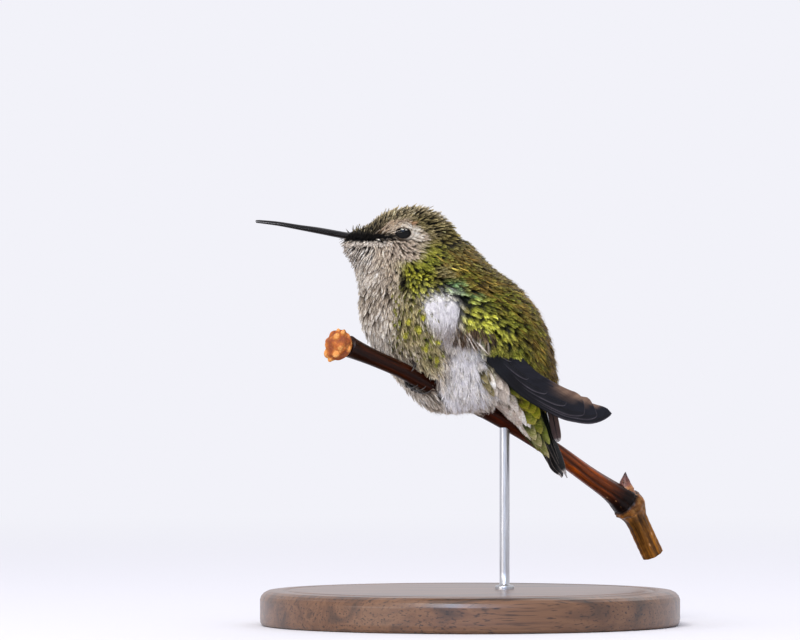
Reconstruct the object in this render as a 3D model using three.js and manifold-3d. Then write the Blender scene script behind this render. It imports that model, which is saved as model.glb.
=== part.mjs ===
import * as THREE from 'three';
import { mergeVertices } from 'three/addons/utils/BufferGeometryUtils.js';
import Module from 'manifold-3d';

// A life-size perched hummingbird on a cut twig and a round display stand, in millimetres.
// The bill points to -X, the bird's left side is -Y, up is +Z, and the origin is the centre
// of the underside of the stand.

const wasm = await Module();
wasm.setup();

// Fit and fineness
const clearance = 0.3;
const fineClearance = 0.12;
const bodySides = 24;
const twigSides = 12;
const twigSteps = 22;

// Where the body is cut into head, neck, trunk and tail, counted in body stations
const headEnd = 5.8;
const neckEnd = 7.3;
const trunkEnd = 13.5;
const tailEnd = 17.0;
const cutHalf = 0.035;

// Eyes
const eyeRadius = 2.2;
const eyeCentre = new THREE.Vector3(-15.2, -5.6, 78.4);

// Bill
const billRootX = -19.6;
const billTipLength = 0.7;
const upperShare = 0.56;

// Twig, its cut end, its bud and the feet that grip it
const footSleeveRadius = 3.45;
const footSleeveFrom = -16.0;
const footSleeveTo = -4.5;
const leftFootX = -13.0;
const rightFootX = -7.6;
const toeRadius = 0.45;
const clawStart = 0.66;
const clawTipRadius = 0.2;
const palmRadius = 0.85;
const tarsusRadius = 0.62;
const tarsusLength = 5.2;

// Toes: how far along the twig they start and end, and their first and last angle round it
const toes = [
  { startAlong: -0.4, endAlong: -1.7, from: -8, to: 205 },
  { startAlong: 0.0, endAlong: 0.1, from: -8, to: 225 },
  { startAlong: 0.4, endAlong: 1.9, from: -8, to: 200 },
  { startAlong: 0.0, endAlong: -0.2, from: 8, to: -150 },
];

// Wings: how far the hidden one is turned up, and how the upper and lower edges of the front
// part lean in over the round of the body
const rightWingLift = THREE.MathUtils.degToRad(2.5);
const upperLean = 0.2;
const lowerLean = 0.08;
const primaryThickness = 0.8;

// Stand
const baseRadius = 42;
const baseThickness = 7;
const baseChamfer = 1.4;
const rodRadius = 1.0;
const rodX = 8.0;
const rodSocketDepth = 4.0;
const rodPegDepth = 1.3;

// Body stations from the forehead to the tail: the point on the back line (x, z), the point on
// the belly line (x, z), the half width, how much wider the ring is above its middle than
// below, and how far the ring is moved sideways.
const bodyStations = [
  { back: [-25.8, 78.3], belly: [-26.0, 77.3], half: 0.5, top: 0.0, side: 0 },
  { back: [-24.2, 79.2], belly: [-25.7, 75.6], half: 1.9, top: 0.0, side: 0 },
  { back: [-21.4, 80.3], belly: [-24.5, 73.2], half: 3.7, top: 0.05, side: 0 },
  { back: [-18.1, 82.4], belly: [-23.5, 70.8], half: 5.7, top: 0.08, side: 0 },
  { back: [-14.0, 83.7], belly: [-22.6, 67.8], half: 7.1, top: 0.06, side: 0 },
  { back: [-9.5, 83.7], belly: [-22.5, 65.0], half: 7.8, top: 0.02, side: 0 },
  { back: [-5.4, 81.8], belly: [-22.3, 62.2], half: 9.1, top: -0.02, side: 0 },
  { back: [-1.6, 77.8], belly: [-21.4, 59.0], half: 10.4, top: -0.06, side: 0 },
  { back: [3.3, 72.4], belly: [-19.2, 55.0], half: 11.6, top: 0.0, side: 0 },
  { back: [8.5, 68.4], belly: [-15.0, 49.4], half: 12.0, top: 0.12, side: 0 },
  { back: [12.6, 64.0], belly: [-10.7, 44.8], half: 12.0, top: 0.16, side: 0 },
  { back: [15.5, 58.8], belly: [-5.8, 42.8], half: 11.0, top: -0.05, side: 0 },
  { back: [17.1, 53.6], belly: [-0.4, 43.0], half: 9.2, top: -0.18, side: 0 },
  { back: [17.7, 49.0], belly: [4.5, 42.0], half: 7.0, top: -0.1, side: -0.2 },
  { back: [17.9, 45.0], belly: [8.5, 39.6], half: 5.3, top: 0.0, side: -0.5 },
  { back: [17.9, 41.0], belly: [11.7, 36.6], half: 4.9, top: 0.1, side: -0.9 },
  { back: [17.9, 37.4], belly: [14.6, 34.4], half: 4.5, top: 0.1, side: -1.1 },
  { back: [18.5, 34.2], belly: [16.6, 33.0], half: 3.8, top: 0.1, side: -1.2 },
];

// Middle line of the bill from inside the head to its tip (x, z), and its half height and half
// width there.
const billLine = [
  { at: [billRootX, 77.0], high: 1.1, wide: 1.35 },
  { at: [-25.8, 77.75], high: 1.0, wide: 1.25 },
  { at: [-30.9, 78.7], high: 0.7, wide: 0.9 },
  { at: [-35.0, 79.4], high: 0.55, wide: 0.68 },
  { at: [-39.2, 80.1], high: 0.46, wide: 0.55 },
  { at: [-42.9, 80.5], high: 0.36, wide: 0.42 },
  { at: [-44.0, 80.55], high: 0.27, wide: 0.32 },
];

// Middle line of the twig and its radius there, from the old cut end over the node to the stem
const twigLine = [
  { at: [-27.4, -11.7, 55.6], radius: 2.85 },
  { at: [-26.2, -11.1, 55.1], radius: 2.25 },
  { at: [-21.9, -9.35, 53.4], radius: 1.95 },
  { at: [-16.2, -6.9, 51.2], radius: 1.95 },
  { at: [-10.7, -4.6, 48.7], radius: 1.95 },
  { at: [0.0, -0.2, 44.6], radius: 1.9 },
  { at: [8.0, 3.2, 41.0], radius: 1.9 },
  { at: [13.8, 5.6, 38.0], radius: 1.85 },
  { at: [20.7, 8.5, 34.0], radius: 1.75 },
  { at: [27.6, 11.4, 29.6], radius: 1.8 },
  { at: [33.6, 14.0, 26.0], radius: 2.2 },
  { at: [37.3, 15.5, 23.4], radius: 3.2 },
  { at: [39.2, 16.3, 20.6], radius: 2.3 },
  { at: [41.2, 17.2, 16.9], radius: 2.2 },
  { at: [43.2, 18.0, 13.2], radius: 2.2 },
];

const callusCentre = new THREE.Vector3(-29.9, -12.75, 56.0);
const budBase = new THREE.Vector3(36.6, 15.0, 25.4);
const budTip = new THREE.Vector3(36.2, 14.6, 30.1);

// Front part of the folded left wing: lower edge and upper edge (x, z), middle y, thickness
const wingStations = [
  { low: [-17.0, 66.4], high: [-16.8, 69.2], y: -8.7, thick: 1.2 },
  { low: [-15.2, 62.6], high: [-15.3, 71.2], y: -9.7, thick: 2.6 },
  { low: [-11.4, 58.8], high: [-10.3, 71.6], y: -10.8, thick: 3.0 },
  { low: [-5.2, 54.4], high: [-4.0, 68.4], y: -11.6, thick: 2.6 },
  { low: [1.6, 50.2], high: [2.6, 63.0], y: -11.7, thick: 2.0 },
  { low: [6.4, 47.2], high: [8.2, 57.0], y: -11.4, thick: 1.5 },
  { low: [10.6, 44.8], high: [12.4, 52.2], y: -10.9, thick: 1.1 },
  { low: [14.2, 43.6], high: [15.2, 48.8], y: -10.4, thick: 0.8 },
];

// Long primaries of the left wing, the outermost first: where the vane leaves the wing and
// where it ends (x, y, z), and its width
const primaries = [
  { root: [-1.0, -11.3, 56.0], tip: [26.9, -8.9, 41.5], width: 5.0 },
  { root: [-2.0, -11.5, 56.8], tip: [24.2, -9.5, 40.6], width: 5.2 },
  { root: [-3.0, -11.8, 58.0], tip: [20.4, -10.1, 41.9], width: 5.4 },
  { root: [-4.0, -12.0, 59.4], tip: [16.6, -10.7, 44.0], width: 5.6 },
];

// Tail feathers on either side of the middle: sideways place of root and tip, how far the tip
// falls short of the longest, and how deep the feather lies under the middle pair
const rectrices = [
  { rootY: 0.9, tipY: 1.2, short: 0.6, deep: 0.0 },
  { rootY: 1.7, tipY: 2.2, short: 0.0, deep: 0.5 },
  { rootY: 2.5, tipY: 3.2, short: 1.8, deep: 1.0 },
];
const tailRoot = new THREE.Vector3(15.6, -0.7, 44.0);
const tailTip = new THREE.Vector3(19.4, -1.2, 29.3);
const rectrixWidth = 3.9;
const rectrixThickness = 0.65;

// The outermost feather on the right stands a little away from the rest
const looseRoot = new THREE.Vector3(17.2, 1.5, 42.5);
const looseTip = new THREE.Vector3(19.8, 2.6, 36.7);

function curveThrough(points) {
  return new THREE.CatmullRomCurve3(points);
}

function flatVector(pair) {
  return new THREE.Vector3(pair[0], 0, pair[1]);
}

function signedVolume(positions, triangles) {
  const a = new THREE.Vector3();
  const b = new THREE.Vector3();
  const c = new THREE.Vector3();
  let sum = 0;
  for (let i = 0; i < triangles.length; i += 3) {
    a.fromArray(positions, triangles[i] * 3);
    b.fromArray(positions, triangles[i + 1] * 3);
    c.fromArray(positions, triangles[i + 2] * 3);
    sum += a.dot(b.cross(c));
  }
  return sum / 6;
}

// Turns a closed three.js geometry into a solid that can be joined and cut.
function solid(geometry) {
  geometry.deleteAttribute('normal');
  geometry.deleteAttribute('uv');
  const merged = mergeVertices(geometry);
  const vertProperties = new Float32Array(merged.attributes.position.array);
  const triVerts = new Uint32Array(merged.index.array);
  if (signedVolume(vertProperties, triVerts) < 0) {
    for (let i = 0; i < triVerts.length; i += 3) {
      const kept = triVerts[i];
      triVerts[i] = triVerts[i + 1];
      triVerts[i + 1] = kept;
    }
  }
  return new wasm.Manifold(new wasm.Mesh({ numProp: 3, vertProperties, triVerts }));
}

// A closed body with two flat ends. `place` is given how far along (0 to 1), the angle round,
// and 0 for the middle of an end or 1 for the rim.
function shapedBody(sides, steps, place) {
  const geometry = new THREE.CylinderGeometry(1, 1, 1, sides, steps);
  const position = geometry.attributes.position;
  for (let i = 0; i < position.count; i++) {
    const across = position.getX(i);
    const up = position.getZ(i);
    const rim = Math.hypot(across, up) > 0.5 ? 1 : 0;
    const point = place(position.getY(i) + 0.5, Math.atan2(up, across), rim);
    position.setXYZ(i, point.x, point.y, point.z);
  }
  return solid(geometry);
}

// A round tube of changing radius along a curve.
function tube(curve, sides, steps, radiusAt, from = 0, to = 1) {
  const worldUp = new THREE.Vector3(0, 0, 1);
  return shapedBody(sides, steps, (along, angle, rim) => {
    const t = THREE.MathUtils.lerp(from, to, along);
    const tangent = curve.getTangent(t);
    const sideways = new THREE.Vector3().crossVectors(tangent, worldUp).normalize();
    const upward = new THREE.Vector3().crossVectors(sideways, tangent);
    const radius = radiusAt(t) * rim;
    return curve.getPoint(t)
      .addScaledVector(upward, radius * Math.cos(angle))
      .addScaledVector(sideways, radius * Math.sin(angle));
  });
}

function joined(solids) {
  return solids.reduce((sum, next) => sum.add(next));
}

function meshOf(name, body, material) {
  const data = body.getMesh();
  const geometry = new THREE.BufferGeometry();
  geometry.setAttribute('position', new THREE.BufferAttribute(new Float32Array(data.vertProperties), 3));
  geometry.setIndex(new THREE.BufferAttribute(new Uint32Array(data.triVerts), 1));
  geometry.computeVertexNormals();
  const mesh = new THREE.Mesh(geometry, material);
  mesh.name = name;
  return mesh;
}

// Body

const backLine = curveThrough(bodyStations.map((station) => flatVector(station.back)));
const bellyLine = curveThrough(bodyStations.map((station) => flatVector(station.belly)));
const girth = curveThrough(bodyStations.map((s) => new THREE.Vector3(s.half, s.top, s.side)));

function bodyPoint(station, angle, rim) {
  const t = station / (bodyStations.length - 1);
  const back = backLine.getPoint(t);
  const belly = bellyLine.getPoint(t);
  const ring = girth.getPoint(t);
  const toBack = Math.cos(angle) * rim;
  const point = belly.clone().lerp(back, (1 + toBack) / 2);
  point.y = ring.z + ring.x * Math.sin(angle) * rim * (1 + ring.y * toBack);
  return point;
}

function bodyPiece(from, to, steps) {
  return shapedBody(bodySides, steps, (along, angle, rim) => {
    return bodyPoint(THREE.MathUtils.lerp(from, to, along), angle, rim);
  });
}

function headSolid() {
  let head = bodyPiece(0, headEnd - cutHalf, 10);
  head = head.subtract(billPocket());
  head = head.subtract(eyeball(-1, clearance));
  return head.subtract(eyeball(1, clearance));
}

function neckSolid() {
  let neck = bodyPiece(headEnd + cutHalf, neckEnd - cutHalf, 4);
  neck = neck.subtract(wingSolid(-1, clearance));
  return neck.subtract(wingSolid(1, clearance));
}

function trunkSolid() {
  let trunk = bodyPiece(neckEnd + cutHalf, trunkEnd - cutHalf, 11);
  trunk = trunk.subtract(wingSolid(-1, clearance));
  trunk = trunk.subtract(wingSolid(1, clearance));
  trunk = trunk.subtract(twigSleeve());
  trunk = trunk.subtract(tarsus(leftFootX, -1, clearance));
  return trunk.subtract(tarsus(rightFootX, 1, clearance));
}

// Eyes

function eyeball(side, extra = 0) {
  const geometry = new THREE.SphereGeometry(eyeRadius + extra, 14, 10);
  geometry.translate(eyeCentre.x, -side * eyeCentre.y, eyeCentre.z);
  return solid(geometry);
}

// Bill

const billMiddle = curveThrough(billLine.map((station) => flatVector(station.at)));
const billSize = curveThrough(billLine.map((s) => new THREE.Vector3(s.high, s.wide, 0)));

function billPocket() {
  return shapedBody(12, 6, (along, angle, rim) => {
    const point = billMiddle.getPoint(along);
    const size = billSize.getPoint(along);
    const back = along === 0 ? clearance : 0;
    point.x += back;
    point.y = (size.y + clearance) * Math.sin(angle) * rim;
    point.z += (size.x + clearance) * Math.cos(angle) * rim;
    return point;
  });
}

// One mandible is a half-round bar whose flat side lies on the line where the bill opens.
function mandible(sign, share, length) {
  return shapedBody(10, 7, (along, angle, rim) => {
    const t = along * length;
    const point = billMiddle.getPoint(t);
    const size = billSize.getPoint(t);
    const opening = -size.x * (2 * upperShare - 1);
    const depth = size.x * 2 * share - fineClearance / 2;
    const bulge = rim ? Math.max(Math.cos(angle), 0) : 0.4;
    point.y = size.y * Math.sin(angle) * rim;
    point.z += opening + sign * (fineClearance / 2 + depth * bulge);
    return point;
  });
}

// Twig

const twigCurve = curveThrough(twigLine.map((station) => new THREE.Vector3(...station.at)));
const twigGirth = curveThrough(twigLine.map((s) => new THREE.Vector3(s.radius, 0, 0)));

function twigRadius(t) {
  return twigGirth.getPoint(t).x;
}

function twigParameterAt(x) {
  let low = 0;
  let high = 1;
  for (let i = 0; i < 30; i++) {
    const middle = (low + high) / 2;
    if (twigCurve.getPoint(middle).x < x) {
      low = middle;
    } else {
      high = middle;
    }
  }
  return low;
}

function twigSolid() {
  let twig = tube(twigCurve, twigSides, twigSteps, twigRadius);
  twig = twig.subtract(callusSolid(clearance));
  twig = twig.subtract(budSolid(clearance));
  return twig.subtract(rodSolid(clearance));
}

// Room for the twig where it passes the body
function twigRoom() {
  return tube(twigCurve, twigSides, twigSteps, (t) => twigRadius(t) + clearance);
}

// Room for the twig in the belly, wider where the feet hold it
function twigSleeve() {
  const from = twigParameterAt(footSleeveFrom);
  const to = twigParameterAt(footSleeveTo);
  const wide = tube(twigCurve, twigSides, 3, () => footSleeveRadius, from, to);
  return twigRoom().add(wide);
}

// The healed-over cut end: a lumpy knob.
function callusSolid(extra = 0) {
  const geometry = new THREE.SphereGeometry(1, 14, 10);
  const position = geometry.attributes.position;
  const axis = twigCurve.getTangent(0).negate();
  for (let i = 0; i < position.count; i++) {
    const direction = new THREE.Vector3().fromBufferAttribute(position, i);
    const lump = 0.16 * Math.sin(4 * direction.x + 1) * Math.cos(5 * direction.z + 2 * direction.y);
    const point = direction.clone().multiplyScalar(2.65 + lump + extra);
    point.addScaledVector(axis, 0.25 * direction.dot(axis));
    point.add(callusCentre);
    position.setXYZ(i, point.x, point.y, point.z);
  }
  return solid(geometry);
}

function budSolid(extra = 0) {
  const path = new THREE.LineCurve3(budBase, budTip);
  return tube(path, 10, 7, (t) => 0.25 + 2.0 * Math.sqrt(Math.max(0, 1 - t * t)) * (1 - 0.25 * t) + extra);
}

// Feet

// Places on the twig's surface are told by a distance along it and an angle from its top,
// which grows toward the bird's right side.
function gripPoint(footX, alongTwig, angle, distance) {
  const t = twigParameterAt(footX);
  const tangent = twigCurve.getTangent(t);
  const right = new THREE.Vector3(-tangent.y, tangent.x, 0).normalize();
  const upward = new THREE.Vector3().crossVectors(tangent, right);
  return twigCurve.getPoint(t)
    .addScaledVector(tangent, alongTwig)
    .addScaledVector(upward, Math.cos(angle) * (twigRadius(t) + distance))
    .addScaledVector(right, Math.sin(angle) * (twigRadius(t) + distance));
}

// A toe bent round the twig, thinning to its claw at the end.
function toeSolid(footX, toe) {
  const points = [];
  for (let i = 0; i <= 6; i++) {
    const share = i / 6;
    const angle = THREE.MathUtils.degToRad(THREE.MathUtils.lerp(toe.from, toe.to, share));
    const along = THREE.MathUtils.lerp(toe.startAlong, toe.endAlong, share);
    points.push(gripPoint(footX, along, angle, clearance + toeRadius + 0.1 * share));
  }
  const curve = curveThrough(points);
  return tube(curve, 5, 7, (t) => {
    const claw = Math.max(0, (t - clawStart) / (1 - clawStart));
    return THREE.MathUtils.lerp(toeRadius, clawTipRadius, claw);
  });
}

function tarsusCurve(footX, side) {
  const foot = gripPoint(footX, 0, 0, clearance + toeRadius + 0.2);
  const upper = foot.clone().add(new THREE.Vector3(1.6, side * 0.9, tarsusLength));
  return new THREE.LineCurve3(foot, upper);
}

function tarsus(footX, side, extra = 0) {
  const end = 1 + extra / tarsusLength;
  return tube(tarsusCurve(footX, side), 8, 1, () => tarsusRadius + extra, 0, end);
}

function legSolid(footX, side) {
  const palm = new THREE.SphereGeometry(palmRadius, 8, 6);
  const heel = gripPoint(footX, 0, 0, clearance + palmRadius);
  palm.translate(heel.x, heel.y, heel.z);
  return joined([solid(palm), tarsus(footX, side), ...toes.map((toe) => toeSolid(footX, toe))]);
}

// Wings

// Puts a point of the left wing on the chosen side; the right wing is the mirror image,
// turned up a little about the wrist.
function wingSide(point, side) {
  if (side < 0) {
    return point;
  }
  const wrist = flatVector(wingStations[1].low);
  const turned = point.sub(wrist).applyAxisAngle(new THREE.Vector3(0, 1, 0), -rightWingLift).add(wrist);
  turned.y *= -1;
  return turned;
}

const wingLow = curveThrough(wingStations.map((station) => flatVector(station.low)));
const wingHigh = curveThrough(wingStations.map((station) => flatVector(station.high)));
const wingBulk = curveThrough(wingStations.map((s) => new THREE.Vector3(s.y, s.thick, 0)));

function wingCoverts(side, extra) {
  return shapedBody(10, 11, (along, angle, rim) => {
    const low = wingLow.getPoint(along);
    const high = wingHigh.getPoint(along);
    const bulk = wingBulk.getPoint(along);
    const halfChord = low.distanceTo(high) / 2;
    const across = high.clone().sub(low).normalize();
    const reach = Math.cos(angle) * rim * (halfChord + extra);
    const point = low.clone().lerp(high, 0.5).addScaledVector(across, reach);
    const lean = upperLean * Math.max(reach, 0) - lowerLean * Math.min(reach, 0);
    point.y = bulk.x + lean + Math.sin(angle) * rim * (bulk.y / 2 + extra);
    return wingSide(point, side);
  });
}

// A long feather: a thin lens in section, parallel-sided, with a rounded tip.
function vane(root, tip, sideways, bow, width, thickness, roundFrom, extra, finish) {
  const along = tip.clone().sub(root).normalize();
  const outward = new THREE.Vector3().crossVectors(along, sideways).normalize();
  const middle = root.clone().lerp(tip, 0.55).add(bow);
  const curve = new THREE.QuadraticBezierCurve3(root, middle, tip);
  return shapedBody(8, 7, (share, angle, rim) => {
    const t = 1 - (1 - share) * (1 - 0.35 * share);
    const fade = Math.max(0, (t - roundFrom) / (1 - roundFrom));
    const taper = Math.min(1, 0.6 + 1.2 * t) * Math.max(0.14, Math.sqrt(1 - fade * fade));
    const point = curve.getPoint(t);
    point.addScaledVector(along, share === 1 ? extra : 0);
    point.addScaledVector(sideways, Math.cos(angle) * rim * (width / 2 * taper + extra));
    point.addScaledVector(outward, Math.sin(angle) * rim * (thickness / 2 + extra));
    return finish(point);
  });
}

function primary(feather, side, extra) {
  const root = new THREE.Vector3(...feather.root);
  const tip = new THREE.Vector3(...feather.tip);
  const sideways = new THREE.Vector3(0.5, 0.12, 0.86).normalize();
  const bow = new THREE.Vector3(-0.6, -0.5, -1.4);
  const finish = (point) => wingSide(point, side);
  return vane(root, tip, sideways, bow, feather.width, primaryThickness, 0.62, extra, finish);
}

function wingSolid(side, extra = 0) {
  const feathers = primaries.map((feather) => primary(feather, side, extra));
  return joined([wingCoverts(side, extra), ...feathers]);
}

// Tail

function rectrix(feather, side) {
  const axis = tailTip.clone().sub(tailRoot).normalize();
  const below = new THREE.Vector3(-axis.z, 0, axis.x).negate().normalize();
  const root = tailRoot.clone().addScaledVector(below, feather.deep);
  const tip = tailTip.clone().addScaledVector(below, feather.deep).addScaledVector(axis, -feather.short);
  root.y += side * feather.rootY;
  tip.y += side * feather.tipY;
  const sideways = new THREE.Vector3(0, 1, 0);
  const bow = new THREE.Vector3(-0.5, 0, 0);
  return vane(root, tip, sideways, bow, rectrixWidth, rectrixThickness, 0.8, 0, (point) => point);
}

function tailSolid() {
  const coverts = bodyPiece(trunkEnd + cutHalf, tailEnd, 7);
  const left = rectrices.map((feather) => rectrix(feather, -1));
  const right = rectrices.map((feather) => rectrix(feather, 1));
  const sideways = new THREE.Vector3(0, 1, 0);
  const still = new THREE.Vector3();
  const loose = vane(looseRoot, looseTip, sideways, still, 2.6, rectrixThickness, 0.7, 0, (point) => point);
  const tail = joined([coverts, ...left, ...right, loose]);
  return tail.subtract(twigRoom());
}

// Stand

function rodTop() {
  const t = twigParameterAt(rodX);
  const point = twigCurve.getPoint(t);
  point.z -= twigRadius(t) - rodPegDepth;
  return point;
}

function rodSolid(extra = 0) {
  const top = rodTop();
  const bottom = baseThickness - rodSocketDepth;
  const height = top.z - bottom;
  const geometry = new THREE.CylinderGeometry(rodRadius + extra, rodRadius + extra, height + 2 * extra, 16);
  geometry.rotateX(Math.PI / 2);
  geometry.translate(top.x, top.y, bottom + height / 2);
  return solid(geometry);
}

function standBase() {
  const profile = [
    new THREE.Vector2(0, 0),
    new THREE.Vector2(baseRadius - 0.6, 0),
    new THREE.Vector2(baseRadius, 0.6),
    new THREE.Vector2(baseRadius, baseThickness - baseChamfer),
    new THREE.Vector2(baseRadius - baseChamfer * 0.35, baseThickness - baseChamfer * 0.35),
    new THREE.Vector2(baseRadius - baseChamfer, baseThickness),
    new THREE.Vector2(0, baseThickness),
  ];
  const geometry = new THREE.LatheGeometry(profile, 44);
  geometry.rotateX(Math.PI / 2);
  return solid(geometry).subtract(rodSolid(clearance));
}

// Materials, one of its own for each piece

function plumage(color) {
  return new THREE.MeshStandardMaterial({ color, roughness: 0.8, metalness: 0 });
}

function sheenPlumage(color) {
  return new THREE.MeshStandardMaterial({ color, roughness: 0.45, metalness: 0.2 });
}

function horn(color) {
  return new THREE.MeshStandardMaterial({ color, roughness: 0.4, metalness: 0 });
}

function eyeGloss() {
  return new THREE.MeshStandardMaterial({ color: 0x0c0a09, roughness: 0.06, metalness: 0 });
}

function bark(color) {
  return new THREE.MeshStandardMaterial({ color, roughness: 0.5, metalness: 0 });
}

function standWood() {
  return new THREE.MeshStandardMaterial({ color: 0x6b4a30, roughness: 0.45, metalness: 0 });
}

function rodMetal() {
  return new THREE.MeshStandardMaterial({ color: 0xb9bcc0, roughness: 0.3, metalness: 1 });
}

const group = new THREE.Group();
group.name = 'hummingbird_on_stand';
group.add(
  meshOf('head', headSolid(), plumage(0x8f8872)),
  meshOf('neck', neckSolid(), plumage(0x9a9484)),
  meshOf('trunk', trunkSolid(), sheenPlumage(0x6f8f5a)),
  meshOf('tail', tailSolid(), sheenPlumage(0x3f4a38)),
  meshOf('wing_left', wingSolid(-1), plumage(0x3a3b42)),
  meshOf('wing_right', wingSolid(1), plumage(0x3a3b42)),
  meshOf('eye_left', eyeball(-1), eyeGloss()),
  meshOf('eye_right', eyeball(1), eyeGloss()),
  meshOf('bill_upper', mandible(1, upperShare, 1), horn(0x1e1b1a)),
  meshOf('bill_lower', mandible(-1, 1 - upperShare, 1 - billTipLength / 24), horn(0x24201e)),
  meshOf('leg_left', legSolid(leftFootX, -1), horn(0x2a2624)),
  meshOf('leg_right', legSolid(rightFootX, 1), horn(0x2a2624)),
  meshOf('perch_twig', twigSolid(), bark(0x7a4d3a)),
  meshOf('perch_callus', callusSolid(), bark(0xc9783a)),
  meshOf('perch_bud', budSolid(), bark(0x5c3a2c)),
  meshOf('stand_base', standBase(), standWood()),
  meshOf('stand_rod', rodSolid(), rodMetal()),
);

export default group;
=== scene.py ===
import math

import bpy
import numpy as np
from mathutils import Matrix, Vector


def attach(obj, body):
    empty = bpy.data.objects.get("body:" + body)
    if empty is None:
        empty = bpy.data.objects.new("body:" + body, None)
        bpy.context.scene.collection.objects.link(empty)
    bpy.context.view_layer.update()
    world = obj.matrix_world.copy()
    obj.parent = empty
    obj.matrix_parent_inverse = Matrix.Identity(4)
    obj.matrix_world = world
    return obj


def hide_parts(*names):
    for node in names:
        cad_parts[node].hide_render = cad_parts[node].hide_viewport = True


# A perched hummingbird, life size, on a cut twig over a round stand. The bill points to -X,
# the left side is -Y and up is +Z. Lengths are millimetres until they become mesh points.

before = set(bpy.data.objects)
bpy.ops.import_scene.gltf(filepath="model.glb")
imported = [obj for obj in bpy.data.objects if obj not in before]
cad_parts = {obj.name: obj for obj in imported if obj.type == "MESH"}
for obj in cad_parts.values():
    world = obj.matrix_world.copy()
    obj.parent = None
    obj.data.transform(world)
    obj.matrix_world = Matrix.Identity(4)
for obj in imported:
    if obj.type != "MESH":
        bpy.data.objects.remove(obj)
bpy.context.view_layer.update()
millimetre = 0.001    # in metres
rng = np.random.default_rng(236)


def linear(hexColour):
    # sRGB hex to linear red, green, blue
    value = hexColour.lstrip("#")
    channels = np.array([int(value[i:i + 2], 16) / 255 for i in (0, 2, 4)])
    return np.where(channels <= 0.04045, channels / 12.92, ((channels + 0.055) / 1.055) ** 2.4)


def rgba(hexColour):
    return (*[float(c) for c in linear(hexColour)], 1.0)


def smooth(low, high, value):
    share = np.clip((value - low) / (high - low), 0, 1)
    return share * share * (3 - 2 * share)


def mix(first, second, share):
    share = np.asarray(share)[..., None]
    return first * (1 - share) + second * share


def unit(vectors):
    return vectors / np.maximum(np.linalg.norm(vectors, axis=-1, keepdims=True), 1e-9)


def dot(first, second):
    return (first * second).sum(-1)


def wobble(points, scale, seed=0.0):
    # smooth noise between about -1 and 1, worked out from places in mm
    x, y, z = np.moveaxis(points * scale, -1, 0)
    first = np.sin(x * 1.7 + 1.3 * np.sin(y * 1.1 + seed)) * np.cos(y * 1.9 + seed * 1.7)
    second = np.sin(z * 2.3 + 1.1 * np.sin(x * 0.9 + seed * 2.1))
    third = np.sin((x + y - z) * 3.1 + seed * 0.7) * 0.5
    return (first + second + third) / 2.2


def spline(table, at):
    # smooth curve through the rows of a table, at places counted in rows
    table = np.asarray(table, float)
    t = np.clip(np.asarray(at, float), 0, len(table) - 1 - 1e-6)
    i = np.floor(t).astype(int)
    f = (t - i)[..., None]
    p0, p1, p2, p3 = (table[np.clip(i + k, 0, len(table) - 1)] for k in (-1, 0, 1, 2))
    return 0.5 * (2 * p1 + (p2 - p0) * f + (2 * p0 - 5 * p1 + 4 * p2 - p3) * f ** 2
                  + (3 * p1 - p0 - 3 * p2 + p3) * f ** 3)


def makeObject(name, points, faces, attributes=None, uvs=None):
    # faces: arrays of quads or triangles; attributes: name to one value of three for each point
    mesh = bpy.data.meshes.new(name)
    mesh.vertices.add(len(points))
    mesh.vertices.foreach_set("co", (np.asarray(points) * millimetre).astype(np.float32).ravel())
    groups = [np.asarray(group, np.int32) for group in faces if len(group)]
    loops = np.concatenate([group.ravel() for group in groups])
    sizes = np.concatenate([np.full(len(group), group.shape[1], np.int32) for group in groups])
    mesh.loops.add(len(loops))
    mesh.loops.foreach_set("vertex_index", loops)
    mesh.polygons.add(len(sizes))
    mesh.polygons.foreach_set("loop_start", (np.cumsum(sizes) - sizes).astype(np.int32))
    mesh.polygons.foreach_set("use_smooth", np.ones(len(sizes), bool))
    for key, values in (attributes or {}).items():
        if key == "Paint":
            layer = mesh.color_attributes.new(key, "FLOAT_COLOR", "POINT")
            four = np.concatenate([values, np.ones((len(values), 1))], 1)
            layer.data.foreach_set("color", four.astype(np.float32).ravel())
        else:
            layer = mesh.attributes.new(key, "FLOAT_VECTOR", "POINT")
            layer.data.foreach_set("vector", np.asarray(values, np.float32).ravel())
    if uvs is not None:
        layer = mesh.uv_layers.new(name="OFBake")
        layer.data.foreach_set("uv", np.asarray(uvs)[loops].astype(np.float32).ravel())
    mesh.update(calc_edges=True)
    piece = bpy.data.objects.new(name, mesh)
    bpy.context.scene.collection.objects.link(piece)
    return piece


def settle(piece, material, slot, *replaced):
    piece.data.materials.append(material)
    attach(piece, "root")
    if replaced:
        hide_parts(*replaced)
    return piece


def withEnds(values):
    # values of rings, with the mean of the first and of the last ring for the two end points
    flat = values.reshape(-1, values.shape[-1])
    return np.concatenate([flat, values[:1].mean(1), values[-1:].mean(1)])


def loftParts(rings, offset=0):
    # points, quads and end triangles of a closed form through rings (count, around, 3)
    count, around = rings.shape[:2]
    m = np.arange(around)
    after = (m + 1) % around
    first = offset + np.arange(count - 1)[:, None] * around
    quads = np.stack([first + m, first + after, first + around + after, first + around + m], -1)
    start = np.full(around, offset + count * around)
    base = offset + (count - 1) * around
    ends = np.concatenate([np.stack([start, offset + after, offset + m], -1),
                           np.stack([start + 1, base + m, base + after], -1)])
    return withEnds(rings), quads.reshape(-1, 4), ends


def loftObject(name, forms, attributes=None, flip=False):
    # one piece from several lofted forms; attributes: name to a list of values for each form
    points, quads, ends = [], [], []
    for rings in forms:
        p, q, e = loftParts(rings, sum(len(done) for done in points))
        points.append(p)
        quads.append(q)
        ends.append(e)
    joined = {key: np.concatenate(values) for key, values in (attributes or {}).items()}
    quads, ends = np.concatenate(quads), np.concatenate(ends)
    faces = [quads[:, ::-1], ends[:, ::-1]] if flip else [quads, ends]
    return makeObject(name, np.concatenate(points), faces, joined)


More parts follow.
